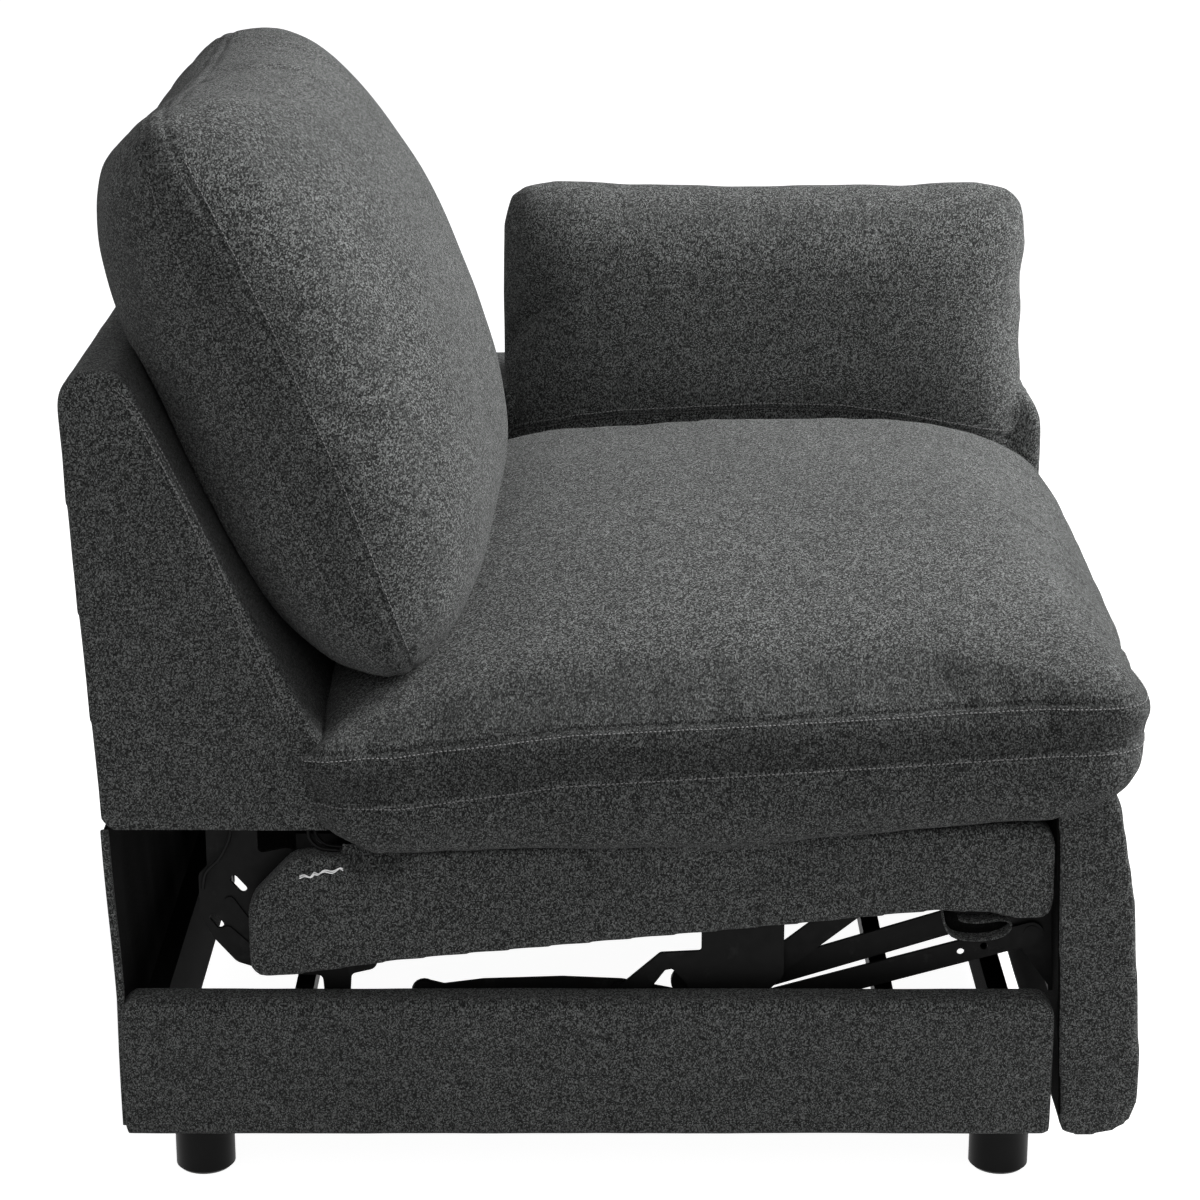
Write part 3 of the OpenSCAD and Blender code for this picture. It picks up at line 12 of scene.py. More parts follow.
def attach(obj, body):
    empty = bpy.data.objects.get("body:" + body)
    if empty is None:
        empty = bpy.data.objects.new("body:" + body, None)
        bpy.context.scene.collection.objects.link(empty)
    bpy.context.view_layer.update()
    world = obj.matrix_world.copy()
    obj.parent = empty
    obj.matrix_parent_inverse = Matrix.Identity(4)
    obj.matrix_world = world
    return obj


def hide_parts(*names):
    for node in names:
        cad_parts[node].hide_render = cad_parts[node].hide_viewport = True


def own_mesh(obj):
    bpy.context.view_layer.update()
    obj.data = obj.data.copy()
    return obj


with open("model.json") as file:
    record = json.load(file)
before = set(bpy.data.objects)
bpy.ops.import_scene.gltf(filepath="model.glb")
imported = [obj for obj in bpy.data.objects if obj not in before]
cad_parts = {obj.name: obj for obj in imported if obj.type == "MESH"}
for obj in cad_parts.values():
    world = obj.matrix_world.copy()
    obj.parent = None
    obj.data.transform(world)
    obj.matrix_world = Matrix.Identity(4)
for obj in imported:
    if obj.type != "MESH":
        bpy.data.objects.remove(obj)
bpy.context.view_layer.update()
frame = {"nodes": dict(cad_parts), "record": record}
nodes = frame["nodes"]

# Places: forward, across and up in millimetres, as the CAD's side outlines have them
MM = 0.001
CROSS_LINE = 13
SEAT_LEFT = -462
SEAT_RIGHT = 272
SEAT_MIDDLE = -95


def at(u, x, z):
    """The point u forward, x across and z up, in metres."""
    return Vector((x * MM, (CROSS_LINE - u) * MM, z * MM))


# Camera: the photograph's view from the open side
scene = bpy.context.scene
EYE = Vector((-3.314, 0.013, 1.516))
LOOK_DOWN = 17.45
LENS = 94.5
SENSOR = 36
FRAME_PIXELS = 1200
camera = bpy.data.objects.new("camera", bpy.data.cameras.new("camera"))
camera.location = EYE
camera.rotation_euler = (math.radians(90 - LOOK_DOWN), 0, math.radians(-90))
camera.data.lens = LENS
camera.data.sensor_width = SENSOR
scene.collection.objects.link(camera)
scene.camera = camera
scene.view_settings.view_transform = "Standard"


def seen(tree, marks):
    """Where the camera's lines of sight, given across and down the frame, meet a surface."""
    focal = LENS / SENSOR * FRAME_PIXELS
    turn = camera.rotation_euler.to_matrix()
    places = []
    for across, down in marks:
        line = Vector(((across - FRAME_PIXELS / 2) / focal, (FRAME_PIXELS / 2 - down) / focal, -1))
        hit = tree.ray_cast(EYE, (turn @ line).normalized())
        if hit[0] is not None:
            places.append(hit[0])
    return places


# Leads: thin cords from the back frame and the deck to the works
LEAD_D = 0.004
ROUTE_STEPS = 7
BACK_ROUTE = ((-362, -436, 382), (-364, -438, 366), (-374, -438, 346), (-388, -436, 330), (-392, -433, 312))
SEAT_ROUTES = (
    ((-286, -440, 380), (-284, -442, 368), (-274, -446, 360), (-256, -450, 359)),
    ((-280, -434, 380), (-278, -436, 369), (-268, -440, 361), (-250, -444, 360)),
)


def smooth_route(marks):
    """A curve that passes through the marks without corners."""
    pts = [at(*m) for m in marks]
    pts = [2 * pts[0] - pts[1]] + pts + [2 * pts[-1] - pts[-2]]
    made = []
    for a, b, c, d in zip(pts, pts[1:], pts[2:], pts[3:]):
        for step in range(ROUTE_STEPS):
            t = step / ROUTE_STEPS
            made.append(0.5 * (2 * b + (c - a) * t + (2 * a - 5 * b + 4 * c - d) * t ** 2
                               + (3 * b - a - 3 * c + d) * t ** 3))
    made.append(pts[-2])
    return made


def wire(name, places, diameter):
    curve = bpy.data.curves.new(name, "CURVE")
    curve.dimensions = "3D"
    # A curve's box counts the radius of its points, so the thickness is set there
    curve.bevel_depth = 1.0
    curve.bevel_resolution = 3
    curve.use_fill_caps = True
    line = curve.splines.new("POLY")
    line.points.add(len(places) - 1)
    for point, place in zip(line.points, places):
        point.co = (*place, 1)
        point.radius = diameter / 2
    line.use_smooth = True
    made = bpy.data.objects.new(name, curve)
    scene.collection.objects.link(made)
    return made


def lead(name, marks, body):
    places = smooth_route(marks)
    made = wire(name, places, LEAD_D)
    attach(made, body)
    return made


back_lead = lead("back_lead_cord", BACK_ROUTE, "back")
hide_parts("back_lead")
seat_leads = [lead(f"seat_lead_cord_{i}", route, "seat") for i, route in enumerate(SEAT_ROUTES)]
for one in seat_leads:
    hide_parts("seat_leads")


# Materials
class Nodes:
    """Short calls for making a material's nodes."""

    def __init__(self, name):
        self.material = bpy.data.materials.new(name)
        self.material.use_nodes = True
        self.tree = self.material.node_tree
        self.shader = self.tree.nodes["Principled BSDF"]
        self.place = self.node("ShaderNodeTexCoord").outputs["Object"]

    def node(self, kind, **settings):
        made = self.tree.nodes.new(kind)
        for key, value in settings.items():
            setattr(made, key, value)
        return made

    def join(self, value, socket):
        if isinstance(value, (int, float, tuple)):
            socket.default_value = value
        else:
            self.tree.links.new(value, socket)

    def maths(self, kind, a, b=0.0):
        made = self.node("ShaderNodeMath", operation=kind)
        for value, socket in zip((a, b), made.inputs):
            self.join(value, socket)
        return made.outputs[0]

    def stretched(self, place, shares):
        made = self.node("ShaderNodeVectorMath", operation="MULTIPLY")
        self.join(place, made.inputs[0])
        self.join(shares, made.inputs[1])
        return made.outputs["Vector"]

    def noise(self, place, scale, detail=2.0, rough=0.5):
        made = self.node("ShaderNodeTexNoise")
        self.join(place, made.inputs["Vector"])
        made.inputs["Scale"].default_value = scale
        made.inputs["Detail"].default_value = detail
        made.inputs["Roughness"].default_value = rough
        return made.outputs["Fac"]

    def spread(self, value, low, high, to_low=0.0, to_high=1.0):
        made = self.node("ShaderNodeMapRange")
        self.join(value, made.inputs["Value"])
        for key, number in zip(("From Min", "From Max", "To Min", "To Max"),
                               (low, high, to_low, to_high)):
            made.inputs[key].default_value = number
        return made.outputs["Result"]

    def mix(self, share, a, b):
        made = self.node("ShaderNodeMix", data_type="RGBA")
        self.join(share, made.inputs["Factor"])
        self.join(a, made.inputs["A"])
        self.join(b, made.inputs["B"])
        return made.outputs["Result"]

    def pair(self, a, b):
        made = self.node("ShaderNodeCombineXYZ")
        self.join(a, made.inputs[0])
        self.join(b, made.inputs[1])
        return made.outputs[0]

    def bump(self, height, distance, strength=1.0):
        made = self.node("ShaderNodeBump")
        made.inputs["Strength"].default_value = strength
        made.inputs["Distance"].default_value = distance
        self.join(height, made.inputs["Height"])
        self.tree.links.new(made.outputs["Normal"], self.shader.inputs["Normal"])

    def set(self, **values):
        for key, value in values.items():
            self.join(value, self.shader.inputs[key.replace("_", " ")])


def grey(level):
    return (level, level, level, 1.0)


# Nearly all of a noise's values lie between these
NOISE_SPAN = (0.3, 0.7)
# Weave: pitch of the weft over the warp's, and how far and how often the threads wander
WEAVE_CELL = 0.0011
WEFT_STRETCH = 1.1
WANDER_CELLS = 0.8
WANDER_SCALE = 60.0
FACE_POWER = 6.0
RIB_SHARE = 0.45
CROSS_SHARE = 0.6
# Tone of a crossing, and of the threads that meet there
SPOT_SHARE = 0.6
ROW_SHARE = 0.18
COLUMN_SHARE = 0.22
TONE_SPAN = (0.16, 0.84)
FLECK_POWER = 2.4
RELIEF_SPAN = (-1.0, 0.9)
TONE_RELIEF = 1.5
# Patches and mottling: scale of the noise, and its lowest and highest share
PATCH_SCALE = 5.0
PATCH_SHARES = (0.92, 1.08)
MOTTLE_SCALE = 55.0
MOTTLE_SHARES = (0.92, 1.08)
# Painted seam shade, in metres: half width of the dark line, the way over which the painted shade falls, the
# band's edge
SEAM_LINE = (0.0002, 0.0014)
SEAM_LINE_SHADE_SHARE = 0.72
SEAM_SHADE_FADE = 0.07
BAND_EDGE = (-0.001, 0.003)


def woven(name, dark, light, slub=0.5, height=0.0006, sheen=0.12, painted_shade_shares=None):
    """Heathered plain weave, laid on by the side that a surface faces."""
    m = Nodes(name)
    place = m.node("ShaderNodeSeparateXYZ")
    m.join(m.place, place.inputs[0])
    facing = m.node("ShaderNodeSeparateXYZ")
    m.join(m.node("ShaderNodeTexCoord").outputs["Normal"], facing.inputs[0])
    # Shares of the three box faces
    faces = [m.maths("POWER", m.maths("ABSOLUTE", facing.outputs[i]), FACE_POWER) for i in range(3)]
    total = m.maths("ADD", m.maths("ADD", faces[0], faces[1]), faces[2])
    wander = m.maths("MULTIPLY", m.noise(m.place, WANDER_SCALE, 1.0), WANDER_CELLS)
    heights, tones = [], []
    for axis, (a, b) in enumerate(((1, 2), (0, 2), (0, 1))):
        along = m.maths("ADD", m.maths("DIVIDE", place.outputs[a], WEAVE_CELL), wander)
        up = m.maths("ADD", m.maths("DIVIDE", place.outputs[b], WEAVE_CELL * WEFT_STRETCH), wander)
        warp = m.maths("SINE", m.maths("MULTIPLY", along, 2 * math.pi))
        weft = m.maths("SINE", m.maths("MULTIPLY", up, 2 * math.pi))
        ribs = m.maths("ADD", m.maths("MULTIPLY", warp, RIB_SHARE),
                       m.maths("MULTIPLY", m.maths("MULTIPLY", warp, weft), CROSS_SHARE))
        # Each crossing of threads has its own tone, and each thread changes slowly along itself
        row = m.maths("FLOOR", up)
        column = m.maths("FLOOR", m.maths("ADD", along, m.maths("MULTIPLY", row, 0.5)))
        spot = m.node("ShaderNodeTexWhiteNoise", noise_dimensions="2D")
        m.join(m.pair(column, row), spot.inputs["Vector"])
        row_place = m.pair(m.maths("MULTIPLY", along, 0.2), m.maths("MULTIPLY", row, 3.7))
        column_place = m.pair(m.maths("MULTIPLY", column, 3.1), m.maths("MULTIPLY", up, 0.14))
        tone = m.maths("MULTIPLY", spot.outputs["Value"], SPOT_SHARE)
        tone = m.maths("ADD", tone, m.maths("MULTIPLY", m.noise(row_place, 1.0, 1.0), ROW_SHARE))
        tone = m.maths("ADD", tone, m.maths("MULTIPLY", m.noise(column_place, 1.0, 1.0), COLUMN_SHARE))
        share = m.maths("DIVIDE", faces[axis], total)
        heights.append(m.maths("MULTIPLY", ribs, share))
        tones.append(m.maths("MULTIPLY", tone, share))
    relief = m.maths("ADD", m.maths("ADD", heights[0], heights[1]), heights[2])
    tone = m.maths("ADD", m.maths("ADD", tones[0], tones[1]), tones[2])
    fleck = m.maths("POWER", m.spread(tone, *TONE_SPAN), FLECK_POWER)
    fleck = m.maths("MULTIPLY", fleck, m.spread(relief, *RELIEF_SPAN, 1 - slub, 1.0))
    shade = m.spread(m.noise(m.place, PATCH_SCALE, 3.0), *NOISE_SPAN, *PATCH_SHARES)
    mottle = m.spread(m.noise(m.place, MOTTLE_SCALE, 3.0), *NOISE_SPAN, *MOTTLE_SHARES)
    shade = m.maths("MULTIPLY", shade, mottle)
    relief = m.maths("ADD", relief, m.maths("MULTIPLY", tone, TONE_RELIEF))
    if painted_shade_shares:
        # "seam" is the way to the nearest seam, over zero between two of them; from it the colour gets
        # painted shade: a dark line along each seam, darker towards the seams outside the band, and darker
        # over the band
        seam = m.node("ShaderNodeAttribute", attribute_name="seam").outputs["Fac"]
        near_share, band_share = painted_shade_shares
        line = m.spread(m.maths("ABSOLUTE", seam), *SEAM_LINE, SEAM_LINE_SHADE_SHARE, 1.0)
        shade = m.maths("MULTIPLY", shade, line)
        shade = m.maths("MULTIPLY", shade, m.spread(seam, -SEAM_SHADE_FADE, 0.0, 1.0, near_share))
        shade = m.maths("MULTIPLY", shade, m.spread(seam, *BAND_EDGE, 1.0, band_share / near_share))
    shaded = m.node("ShaderNodeMix", data_type="RGBA", blend_type="MULTIPLY")
    shaded.inputs["Factor"].default_value = 1.0
    m.join(m.mix(fleck, dark, light), shaded.inputs["A"])
    grey_shade = m.node("ShaderNodeCombineXYZ")
    for i in range(3):
        m.join(shade, grey_shade.inputs[i])
    m.join(grey_shade.outputs[0], shaded.inputs["B"])
    m.set(Base_Color=shaded.outputs["Result"], Roughness=0.92)
    m.shader.inputs["Sheen Weight"].default_value = sheen
    m.shader.inputs["Sheen Roughness"].default_value = 0.5
    m.shader.inputs["Specular IOR Level"].default_value = 0.08
    m.bump(relief, height, 0.8)
    return m.material


BLACK_GLOSS = 0.09


def painted_steel():
    """Satin black paint with fine orange peel, rubbed to grey here and there."""
    m = Nodes("black_steel")
    rub = m.spread(m.noise(m.place, 45.0, 6.0, 0.65), 0.58, 0.74)
    m.set(Base_Color=m.mix(rub, grey(0.006), grey(0.02)), Metallic=0.0,
          Roughness=m.spread(m.noise(m.place, 120.0, 3.0), *NOISE_SPAN, 0.4, 0.55))
    m.shader.inputs["Specular IOR Level"].default_value = BLACK_GLOSS
    m.bump(m.noise(m.place, 900.0, 2.0), 0.00015, 0.5)
    return m.material


def zinc_steel():
    m = Nodes("bright_steel")
    spots = m.noise(m.place, 160.0, 4.0, 0.6)
    m.set(Base_Color=m.mix(m.spread(spots, 0.35, 0.7), grey(0.36), grey(0.62)), Metallic=1.0,
          Roughness=m.spread(spots, *NOISE_SPAN, 0.26, 0.45))
    m.bump(spots, 0.0001, 0.4)
    return m.material


def moulded(name, level, rough):
    m = Nodes(name)
    grain = m.noise(m.place, 1400.0, 2.0)
    wear = m.spread(m.noise(m.place, 30.0, 3.0), *NOISE_SPAN)
    m.set(Base_Color=m.mix(wear, grey(level), grey(level * 1.5)),
          Roughness=m.spread(grain, *NOISE_SPAN, rough - 0.06, rough + 0.08))
    m.shader.inputs["Specular IOR Level"].default_value = BLACK_GLOSS
    m.bump(grain, 0.0001, 0.5)
    return m.material


PINE = (0.52, 0.36, 0.21, 1.0)
PINE_DARK = (0.34, 0.2, 0.1, 1.0)
BAND_SCALES = (26.0, 3.0, 30.0)
FIBRE_SCALES = (420.0, 30.0, 420.0)
FIBRE_SHARE = 0.25


def timber():
    """Sawn pine: long grain along the piece's own longest way."""
    m = Nodes("timber")
    bands = m.noise(m.stretched(m.place, BAND_SCALES), 1.0, 4.0, 0.6)
    fibre = m.noise(m.stretched(m.place, FIBRE_SCALES), 1.0, 3.0)
    tone = m.maths("ADD", m.maths("MULTIPLY", bands, 1 - FIBRE_SHARE),
                   m.maths("MULTIPLY", fibre, FIBRE_SHARE))
    m.set(Base_Color=m.mix(m.spread(tone, 0.35, 0.65), PINE, PINE_DARK), Roughness=0.75)
    m.bump(fibre, 0.0003, 0.6)
    return m.material


def thread():
    m = Nodes("thread")
    twist = m.noise(m.place, 900.0, 2.0)
    m.set(Base_Color=m.mix(twist, grey(0.22), grey(0.42)), Roughness=0.8)
    m.shader.inputs["Specular IOR Level"].default_value = 0.1
    m.bump(twist, 0.0002, 0.6)
    return m.material


CHARCOAL = (0.0136, 0.014, 0.0138, 1.0)
HEATHER = (0.48, 0.496, 0.488, 1.0)
FABRIC = woven("fabric", CHARCOAL, HEATHER)
# Copies of the fabric with painted shade from the seam attribute: on the seat cushion, the back pillow, and
# the back frame near the pillow
SEAMED_SHADED = woven("fabric_seamed_painted_shade", CHARCOAL, HEATHER, painted_shade_shares=(0.78, 0.67))
BOXED_SHADED = woven("fabric_boxed_painted_shade", CHARCOAL, HEATHER, painted_shade_shares=(1.0, 0.88))
PILLOW_SHADED = woven("fabric_pillow_painted_shade", CHARCOAL, HEATHER, painted_shade_shares=(0.22, 0.22))
CLOTH = woven("thin_cloth", grey(0.006), grey(0.02), height=0.0002, sheen=0.0)
LINING = woven("lined_board", grey(0.004), grey(0.014), height=0.0002, sheen=0.0)
STEEL = painted_steel()
ZINC = zinc_steel()
PLASTIC = moulded("black_plastic", 0.006, 0.42)
BUTTON = moulded("button_plastic", 0.028, 0.36)
TIMBER = timber()
THREAD = thread()
MATERIALS = {
    "fabric": FABRIC, "thin_cloth": CLOTH, "lined_board": LINING, "timber": TIMBER,
    "black_plastic": PLASTIC, "button_plastic": BUTTON, "bright_steel": ZINC, "black_steel": STEEL,
}
SLOT_OF = {s["node"]: s["material_slot"] for s in frame["record"]["subparts"]}
BODY_OF = {n: b for b, names in frame["record"]["behaviour"]["bodies"].items() for n in names}
for node_name, node in nodes.items():
    node.data.materials.clear()
    node.data.materials.append(MATERIALS[SLOT_OF[node_name]])


# The far rail's inner face is black too in the photograph
nodes["right_base_rail"].data.materials[0] = LINING
for one in [back_lead] + seat_leads:
    one.data.materials.append(PLASTIC)


# Mesh tools
def new_piece(name, verts, faces, material):
    mesh = bpy.data.meshes.new(name)
    mesh.from_pydata([tuple(v) for v in verts], [], faces)
    mesh.materials.append(material)
    piece = bpy.data.objects.new(name, mesh)
    scene.collection.objects.link(piece)
    return piece


def read_points(piece):
    flat = np.empty(len(piece.data.vertices) * 3, np.float32)
    piece.data.vertices.foreach_get("co", flat)
    return flat.reshape(-1, 3).astype(float)


def write_points(piece, points):
    piece.data.vertices.foreach_set("co", points.astype(np.float32).ravel())
    piece.data.update()


def read_normals(piece):
    flat = np.empty(len(piece.data.vertices) * 3, np.float32)
    piece.data.vertices.foreach_get("normal", flat)
    return flat.reshape(-1, 3).astype(float)


def apply_all(piece):
    """Keeps what the piece's modifiers make of its mesh."""
    bpy.context.view_layer.update()
    graph = bpy.context.evaluated_depsgraph_get()
    made = bpy.data.meshes.new_from_object(piece.evaluated_get(graph))
    piece.modifiers.clear()
    piece.data = made


def shade_smooth(piece):
    piece.data.polygons.foreach_set("use_smooth", [True] * len(piece.data.polygons))
    piece.data.update()


def remeshed(piece, voxel, smooth_steps=3):
    remesh = piece.modifiers.new("remesh", "REMESH")
    remesh.mode = "VOXEL"
    remesh.voxel_size = voxel
    if smooth_steps:
        soft = piece.modifiers.new("smooth", "SMOOTH")
        soft.factor = 0.5
        soft.iterations = smooth_steps
    apply_all(piece)
    return piece


def lumps(points, size, seed):
    """Smooth random value from -1 to 1 at each point, with hills of that size."""
    shift = Vector((seed * 3.7, seed * 1.9, seed * 5.3))
    scale = 1.0 / size
    return np.array([noise.noise(Vector(p) * scale + shift) for p in points])


def swell(piece, amount):
    """Moves each point along its normal by its own amount, in metres."""
    write_points(piece, read_points(piece) + read_normals(piece) * amount[:, None])


def swell_lumps(piece, hills):
    """Uneven padding: each hill's height in millimetres, size in metres and seed."""
    points = read_points(piece)
    swell(piece, MM * sum(height * lumps(points, size, seed) for height, size, seed in hills))


def settle(piece, neighbour_tree, gap):
    """Keeps the piece's points outside a neighbour."""
    points = read_points(piece)
    for i, p in enumerate(points):
        near, normal, _, _ = neighbour_tree.find_nearest(Vector(p), 0.25)
        if near is None:
            continue
        depth = (Vector(p) - near).dot(normal)
        if depth < gap:
            points[i] = near + normal * gap
    write_points(piece, points)


def tree_of(piece):
    mesh = bmesh.new()
    mesh.from_mesh(piece.data)
    tree = BVHTree.FromBMesh(mesh)
    mesh.free()
    return tree


LUMP_SIZE = 0.16
SMALL_LUMP_SIZE = 0.045
SMALL_LUMP_SHARE = 0.35


def dress(node_name, voxel, smooth_steps, lump, seed):
    """A soft cover grown on a CAD cover: rounder edges, and slight unevenness in the padding."""
    piece = bpy.data.objects.new("soft_" + node_name, nodes[node_name].data.copy())
    scene.collection.objects.link(piece)
    remeshed(piece, voxel, smooth_steps)
    swell_lumps(piece, ((lump, LUMP_SIZE, seed), (lump * SMALL_LUMP_SHARE, SMALL_LUMP_SIZE, seed + 1)))
    shade_smooth(piece)
    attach(piece, BODY_OF[node_name])
    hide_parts(node_name)
    return piece


# Voxel in metres, smoothing steps, height of the lumps in millimetres, seed
COVERS = {
    "side_rail_cover": (0.005, 3, 0.8, 1),
    "seat_side_cover_left": (0.004, 3, 0.8, 2),
    "seat_side_cover_right": (0.005, 3, 0.8, 3),
    "seat_front_panel": (0.005, 2, 0.6, 4),
    "arm_cover": (0.007, 3, 1.6, 5),
    "back_cover": (0.006, 3, 1.3, 6),
    "footrest_cover": (0.006, 3, 0.5, 7),
}
covers = {node_name: dress(node_name, *settings) for node_name, settings in COVERS.items()}
seat_left = covers["seat_side_cover_left"]
arm = covers["arm_cover"]
back = covers["back_cover"]
footrest = covers["footrest_cover"]

# The near side's cover hangs lower at its front corner, and reaches nearly to the footrest
SIDE_FOOT = ((39, 270), (255, 289), (435, 308))
SIDE_RISE = ((-300, 0), (-200, 5), (330, 6), (385, -1), (408, -10), (440, -11))
SIDE_RUN = 45
SIDE_REACH = 6.5
SIDE_REACH_U = 392
points = read_points(seat_left)
us = CROSS_LINE - points[:, 1] / MM
foot = np.interp(us, *zip(*SIDE_FOOT))
lower_shares = np.clip((foot + SIDE_RUN - points[:, 2] / MM) / SIDE_RUN, 0, 1)
points[:, 2] += MM * np.interp(us, *zip(*SIDE_RISE)) * lower_shares
points[:, 1] -= MM * SIDE_REACH * np.clip((us - SIDE_REACH_U) / SIDE_RUN, 0, 1)
write_points(seat_left, points)


# Cushions
def power_ring(count, power):
    """A rounded square of half width 1, as count points with even turns."""
    turns = np.linspace(0, 2 * math.pi, count, endpoint=False)
    c, s = np.cos(turns), np.sin(turns)
    return np.stack([np.sign(c) * np.abs(c) ** (2 / power), np.sign(s) * np.abs(s) ** (2 / power)], 1)


def lathe_faces(rings, count):
    faces = []
    for j in range(rings - 1):
        for i in range(count):
            a, b = j * count + i, j * count + (i + 1) % count
            faces.append((a, b, b + count, a + count))
    faces.append(tuple(range(count - 1, -1, -1)))
    top = (rings - 1) * count
    faces.append(tuple(range(top, top + count)))
    return faces


PRESSURE = 4.0
CLOTH_STEPS = 14


def inflate(piece, voxel, cap, calm=4):
    """Cloth blown up from the piece's shape, each point moved by no more than the cap."""
    remeshed(piece, voxel, 1)
    start = read_points(piece)
    cloth = piece.modifiers.new("cloth", "CLOTH")
    cloth.settings.quality = 3
    cloth.settings.use_pressure = True
    cloth.settings.uniform_pressure_force = PRESSURE
    cloth.settings.effector_weights.gravity = 0
    cloth.point_cache.frame_start = 1
    cloth.point_cache.frame_end = CLOTH_STEPS
    for step in range(1, CLOTH_STEPS + 1):
        scene.frame_set(step)
    apply_all(piece)
    scene.frame_set(1)
    moved = read_points(piece) - start
    length = np.linalg.norm(moved, axis=1)
    share = np.minimum(1.0, cap / np.maximum(length, 1e-9))
    write_points(piece, start + moved * share[:, None])
    soft = piece.modifiers.new("smooth", "SMOOTH")
    soft.factor = 0.5
    soft.iterations = calm
    apply_all(piece)


def to_frame(points, origin, axes):
    return (points - np.array(origin)) @ np.array(axes).T


def fit_box(piece, origin, axes, low, high):
    """Stretches the piece along the axes until its box there is the one asked for, in millimetres."""
    own = to_frame(read_points(piece), origin, axes)
    least, most = own.min(0), own.max(0)
    low, high = np.array(low) * MM, np.array(high) * MM
    own = low + (own - least) / (most - least) * (high - low)
    write_points(piece, own @ np.array(axes) + np.array(origin))


def aimed_line(tree, starts, targets):
    """Where lines of sight from outside meet the surface."""
    places = []
    for a, b in zip(starts, targets):
        hit = tree.ray_cast(a, (b - a).normalized())
        if hit[0] is not None:
            places.append(hit[0])
    return places


def subdivide(piece):
    finer = piece.modifiers.new("finer", "SUBSURF")
    finer.levels = 1
    finer.render_levels = 1
    apply_all(piece)


def on_surface(tree, points):
    """The nearest surface places and normals to a line of points."""
    places, normals = [], []
    for p in points:
        near, normal, _, _ = tree.find_nearest(Vector(p))
        places.append(near)
        normals.append(normal)
    return places, normals


def even_line(points, step, closed=True):
    """Points each step apart along a line."""
    pts = [Vector(p) for p in points]
    if closed:
        pts.append(pts[0].copy())
    lengths = np.array([(b - a).length for a, b in zip(pts, pts[1:])])
    total = lengths.sum()
    count = max(4, int(total / step))
    marks = np.linspace(0, total, count, endpoint=not closed)
    ends = np.concatenate([[0], np.cumsum(lengths)])
    out = []
    for mark in marks:
        i = min(np.searchsorted(ends, mark, side="right") - 1, len(lengths) - 1)
        t = (mark - ends[i]) / max(lengths[i], 1e-9)
        out.append(pts[i].lerp(pts[i + 1], t))
    return out


def line_distances(points, lines, reach):
    """Each point's way to the nearest mark of the lines, no more than the reach."""
    marks = [p for line in lines for p in line]
    near = KDTree(len(marks))
    for i, p in enumerate(marks):
        near.insert(p, i)
    near.balance()
    return np.array([min(near.find(p)[2], reach) for p in points])


def refine(piece, lines, reach):
    """Splits the faces near the lines, so that a narrow seam keeps its shape."""
    close = line_distances(read_points(piece), lines, reach) < reach
    mesh = bmesh.new()
    mesh.from_mesh(piece.data)
    mesh.verts.ensure_lookup_table()
    edges = [e for e in mesh.edges if close[e.verts[0].index] and close[e.verts[1].index]]
    bmesh.ops.subdivide_edges(mesh, edges=edges, cuts=1, use_grid_fill=True)
    bmesh.ops.triangulate(mesh, faces=[f for f in mesh.faces if len(f.verts) > 4])
    mesh.to_mesh(piece.data)
    mesh.free()


def crease(piece, lines, depth, width):
    """Draws the surface in along the lines."""
    distance = line_distances(read_points(piece), lines, 3 * width)
    swell(piece, np.where(distance < 3 * width, -depth * np.exp(-(distance / width) ** 2), 0.0))


def mark_shade_ways(piece, ways):
    """Stores a way per point, from which the material paints shade: mostly the way to the nearest seam, over
    zero between two seams.
    """
    layer = piece.data.attributes.new("seam", "FLOAT", "POINT")
    layer.data.foreach_set("value", ways.astype(np.float32))


STITCH_SIDES = 4
STITCH_STEPS = ((-0.5, 0.3, -0.1), (-0.25, 1.0, 0.45), (0.25, 1.0, 0.45), (0.5, 0.3, -0.1))


def stitches(name, tree, line, body, closed=True, pitch=0.0044, length=0.0028, width=0.0012):
    """Dashes of thread along a line on a surface."""
    places, normals = on_surface(tree, even_line(line, pitch, closed))
    verts, faces = [], []
    n = len(places)
    for i in range(n):
        along = places[(i + 1) % n] - places[i - 1]
        if along.length < 1e-6 or along.length > 4 * pitch:
            continue
        along.normalize()
        up = normals[i]
        side = along.cross(up)
        base = len(verts)
        for step, (reach, thick, lift) in enumerate(STITCH_STEPS):
            centre = places[i] + along * length * reach + up * width * lift
            for k in range(STITCH_SIDES):
                turn = 2 * math.pi * k / STITCH_SIDES
                verts.append(centre + (side * math.cos(turn) + up * math.sin(turn)) * width * 0.5 * thick)
                if step:
                    a = base + (step - 1) * STITCH_SIDES + k
                    b = base + (step - 1) * STITCH_SIDES + (k + 1) % STITCH_SIDES
                    faces.append((a, b, b + STITCH_SIDES, a + STITCH_SIDES))
    made = new_piece(name, verts, faces, THREAD)
    shade_smooth(made)
    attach(made, body)
    return made


def finish_cushion(piece, node_name, material):
    shade_smooth(piece)
    piece.data.materials.clear()
    piece.data.materials.append(material)
    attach(piece, BODY_OF[node_name])
    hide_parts(node_name)


# Points in a ring, and in a seam's line; the simulation's voxel, gaps and steps in metres
RING = 160
SEAM_RING = 400
VOXEL = 0.008
LINE_STEP = 0.002
CLEAR = 0.002
FOOTREST_CLEAR = 0.004
SEAM_REACH = 0.012
# Depth and half width of each kind of crease, in metres
SEAT_CREASE = (0.0016, 0.003)
PILLOW_CREASE = (0.0012, 0.003)
FOLD_CREASE = (0.0035, 0.0045)
HEM_CREASE = (0.004, 0.0038)
TUCK_CREASE = (0.007, 0.014)


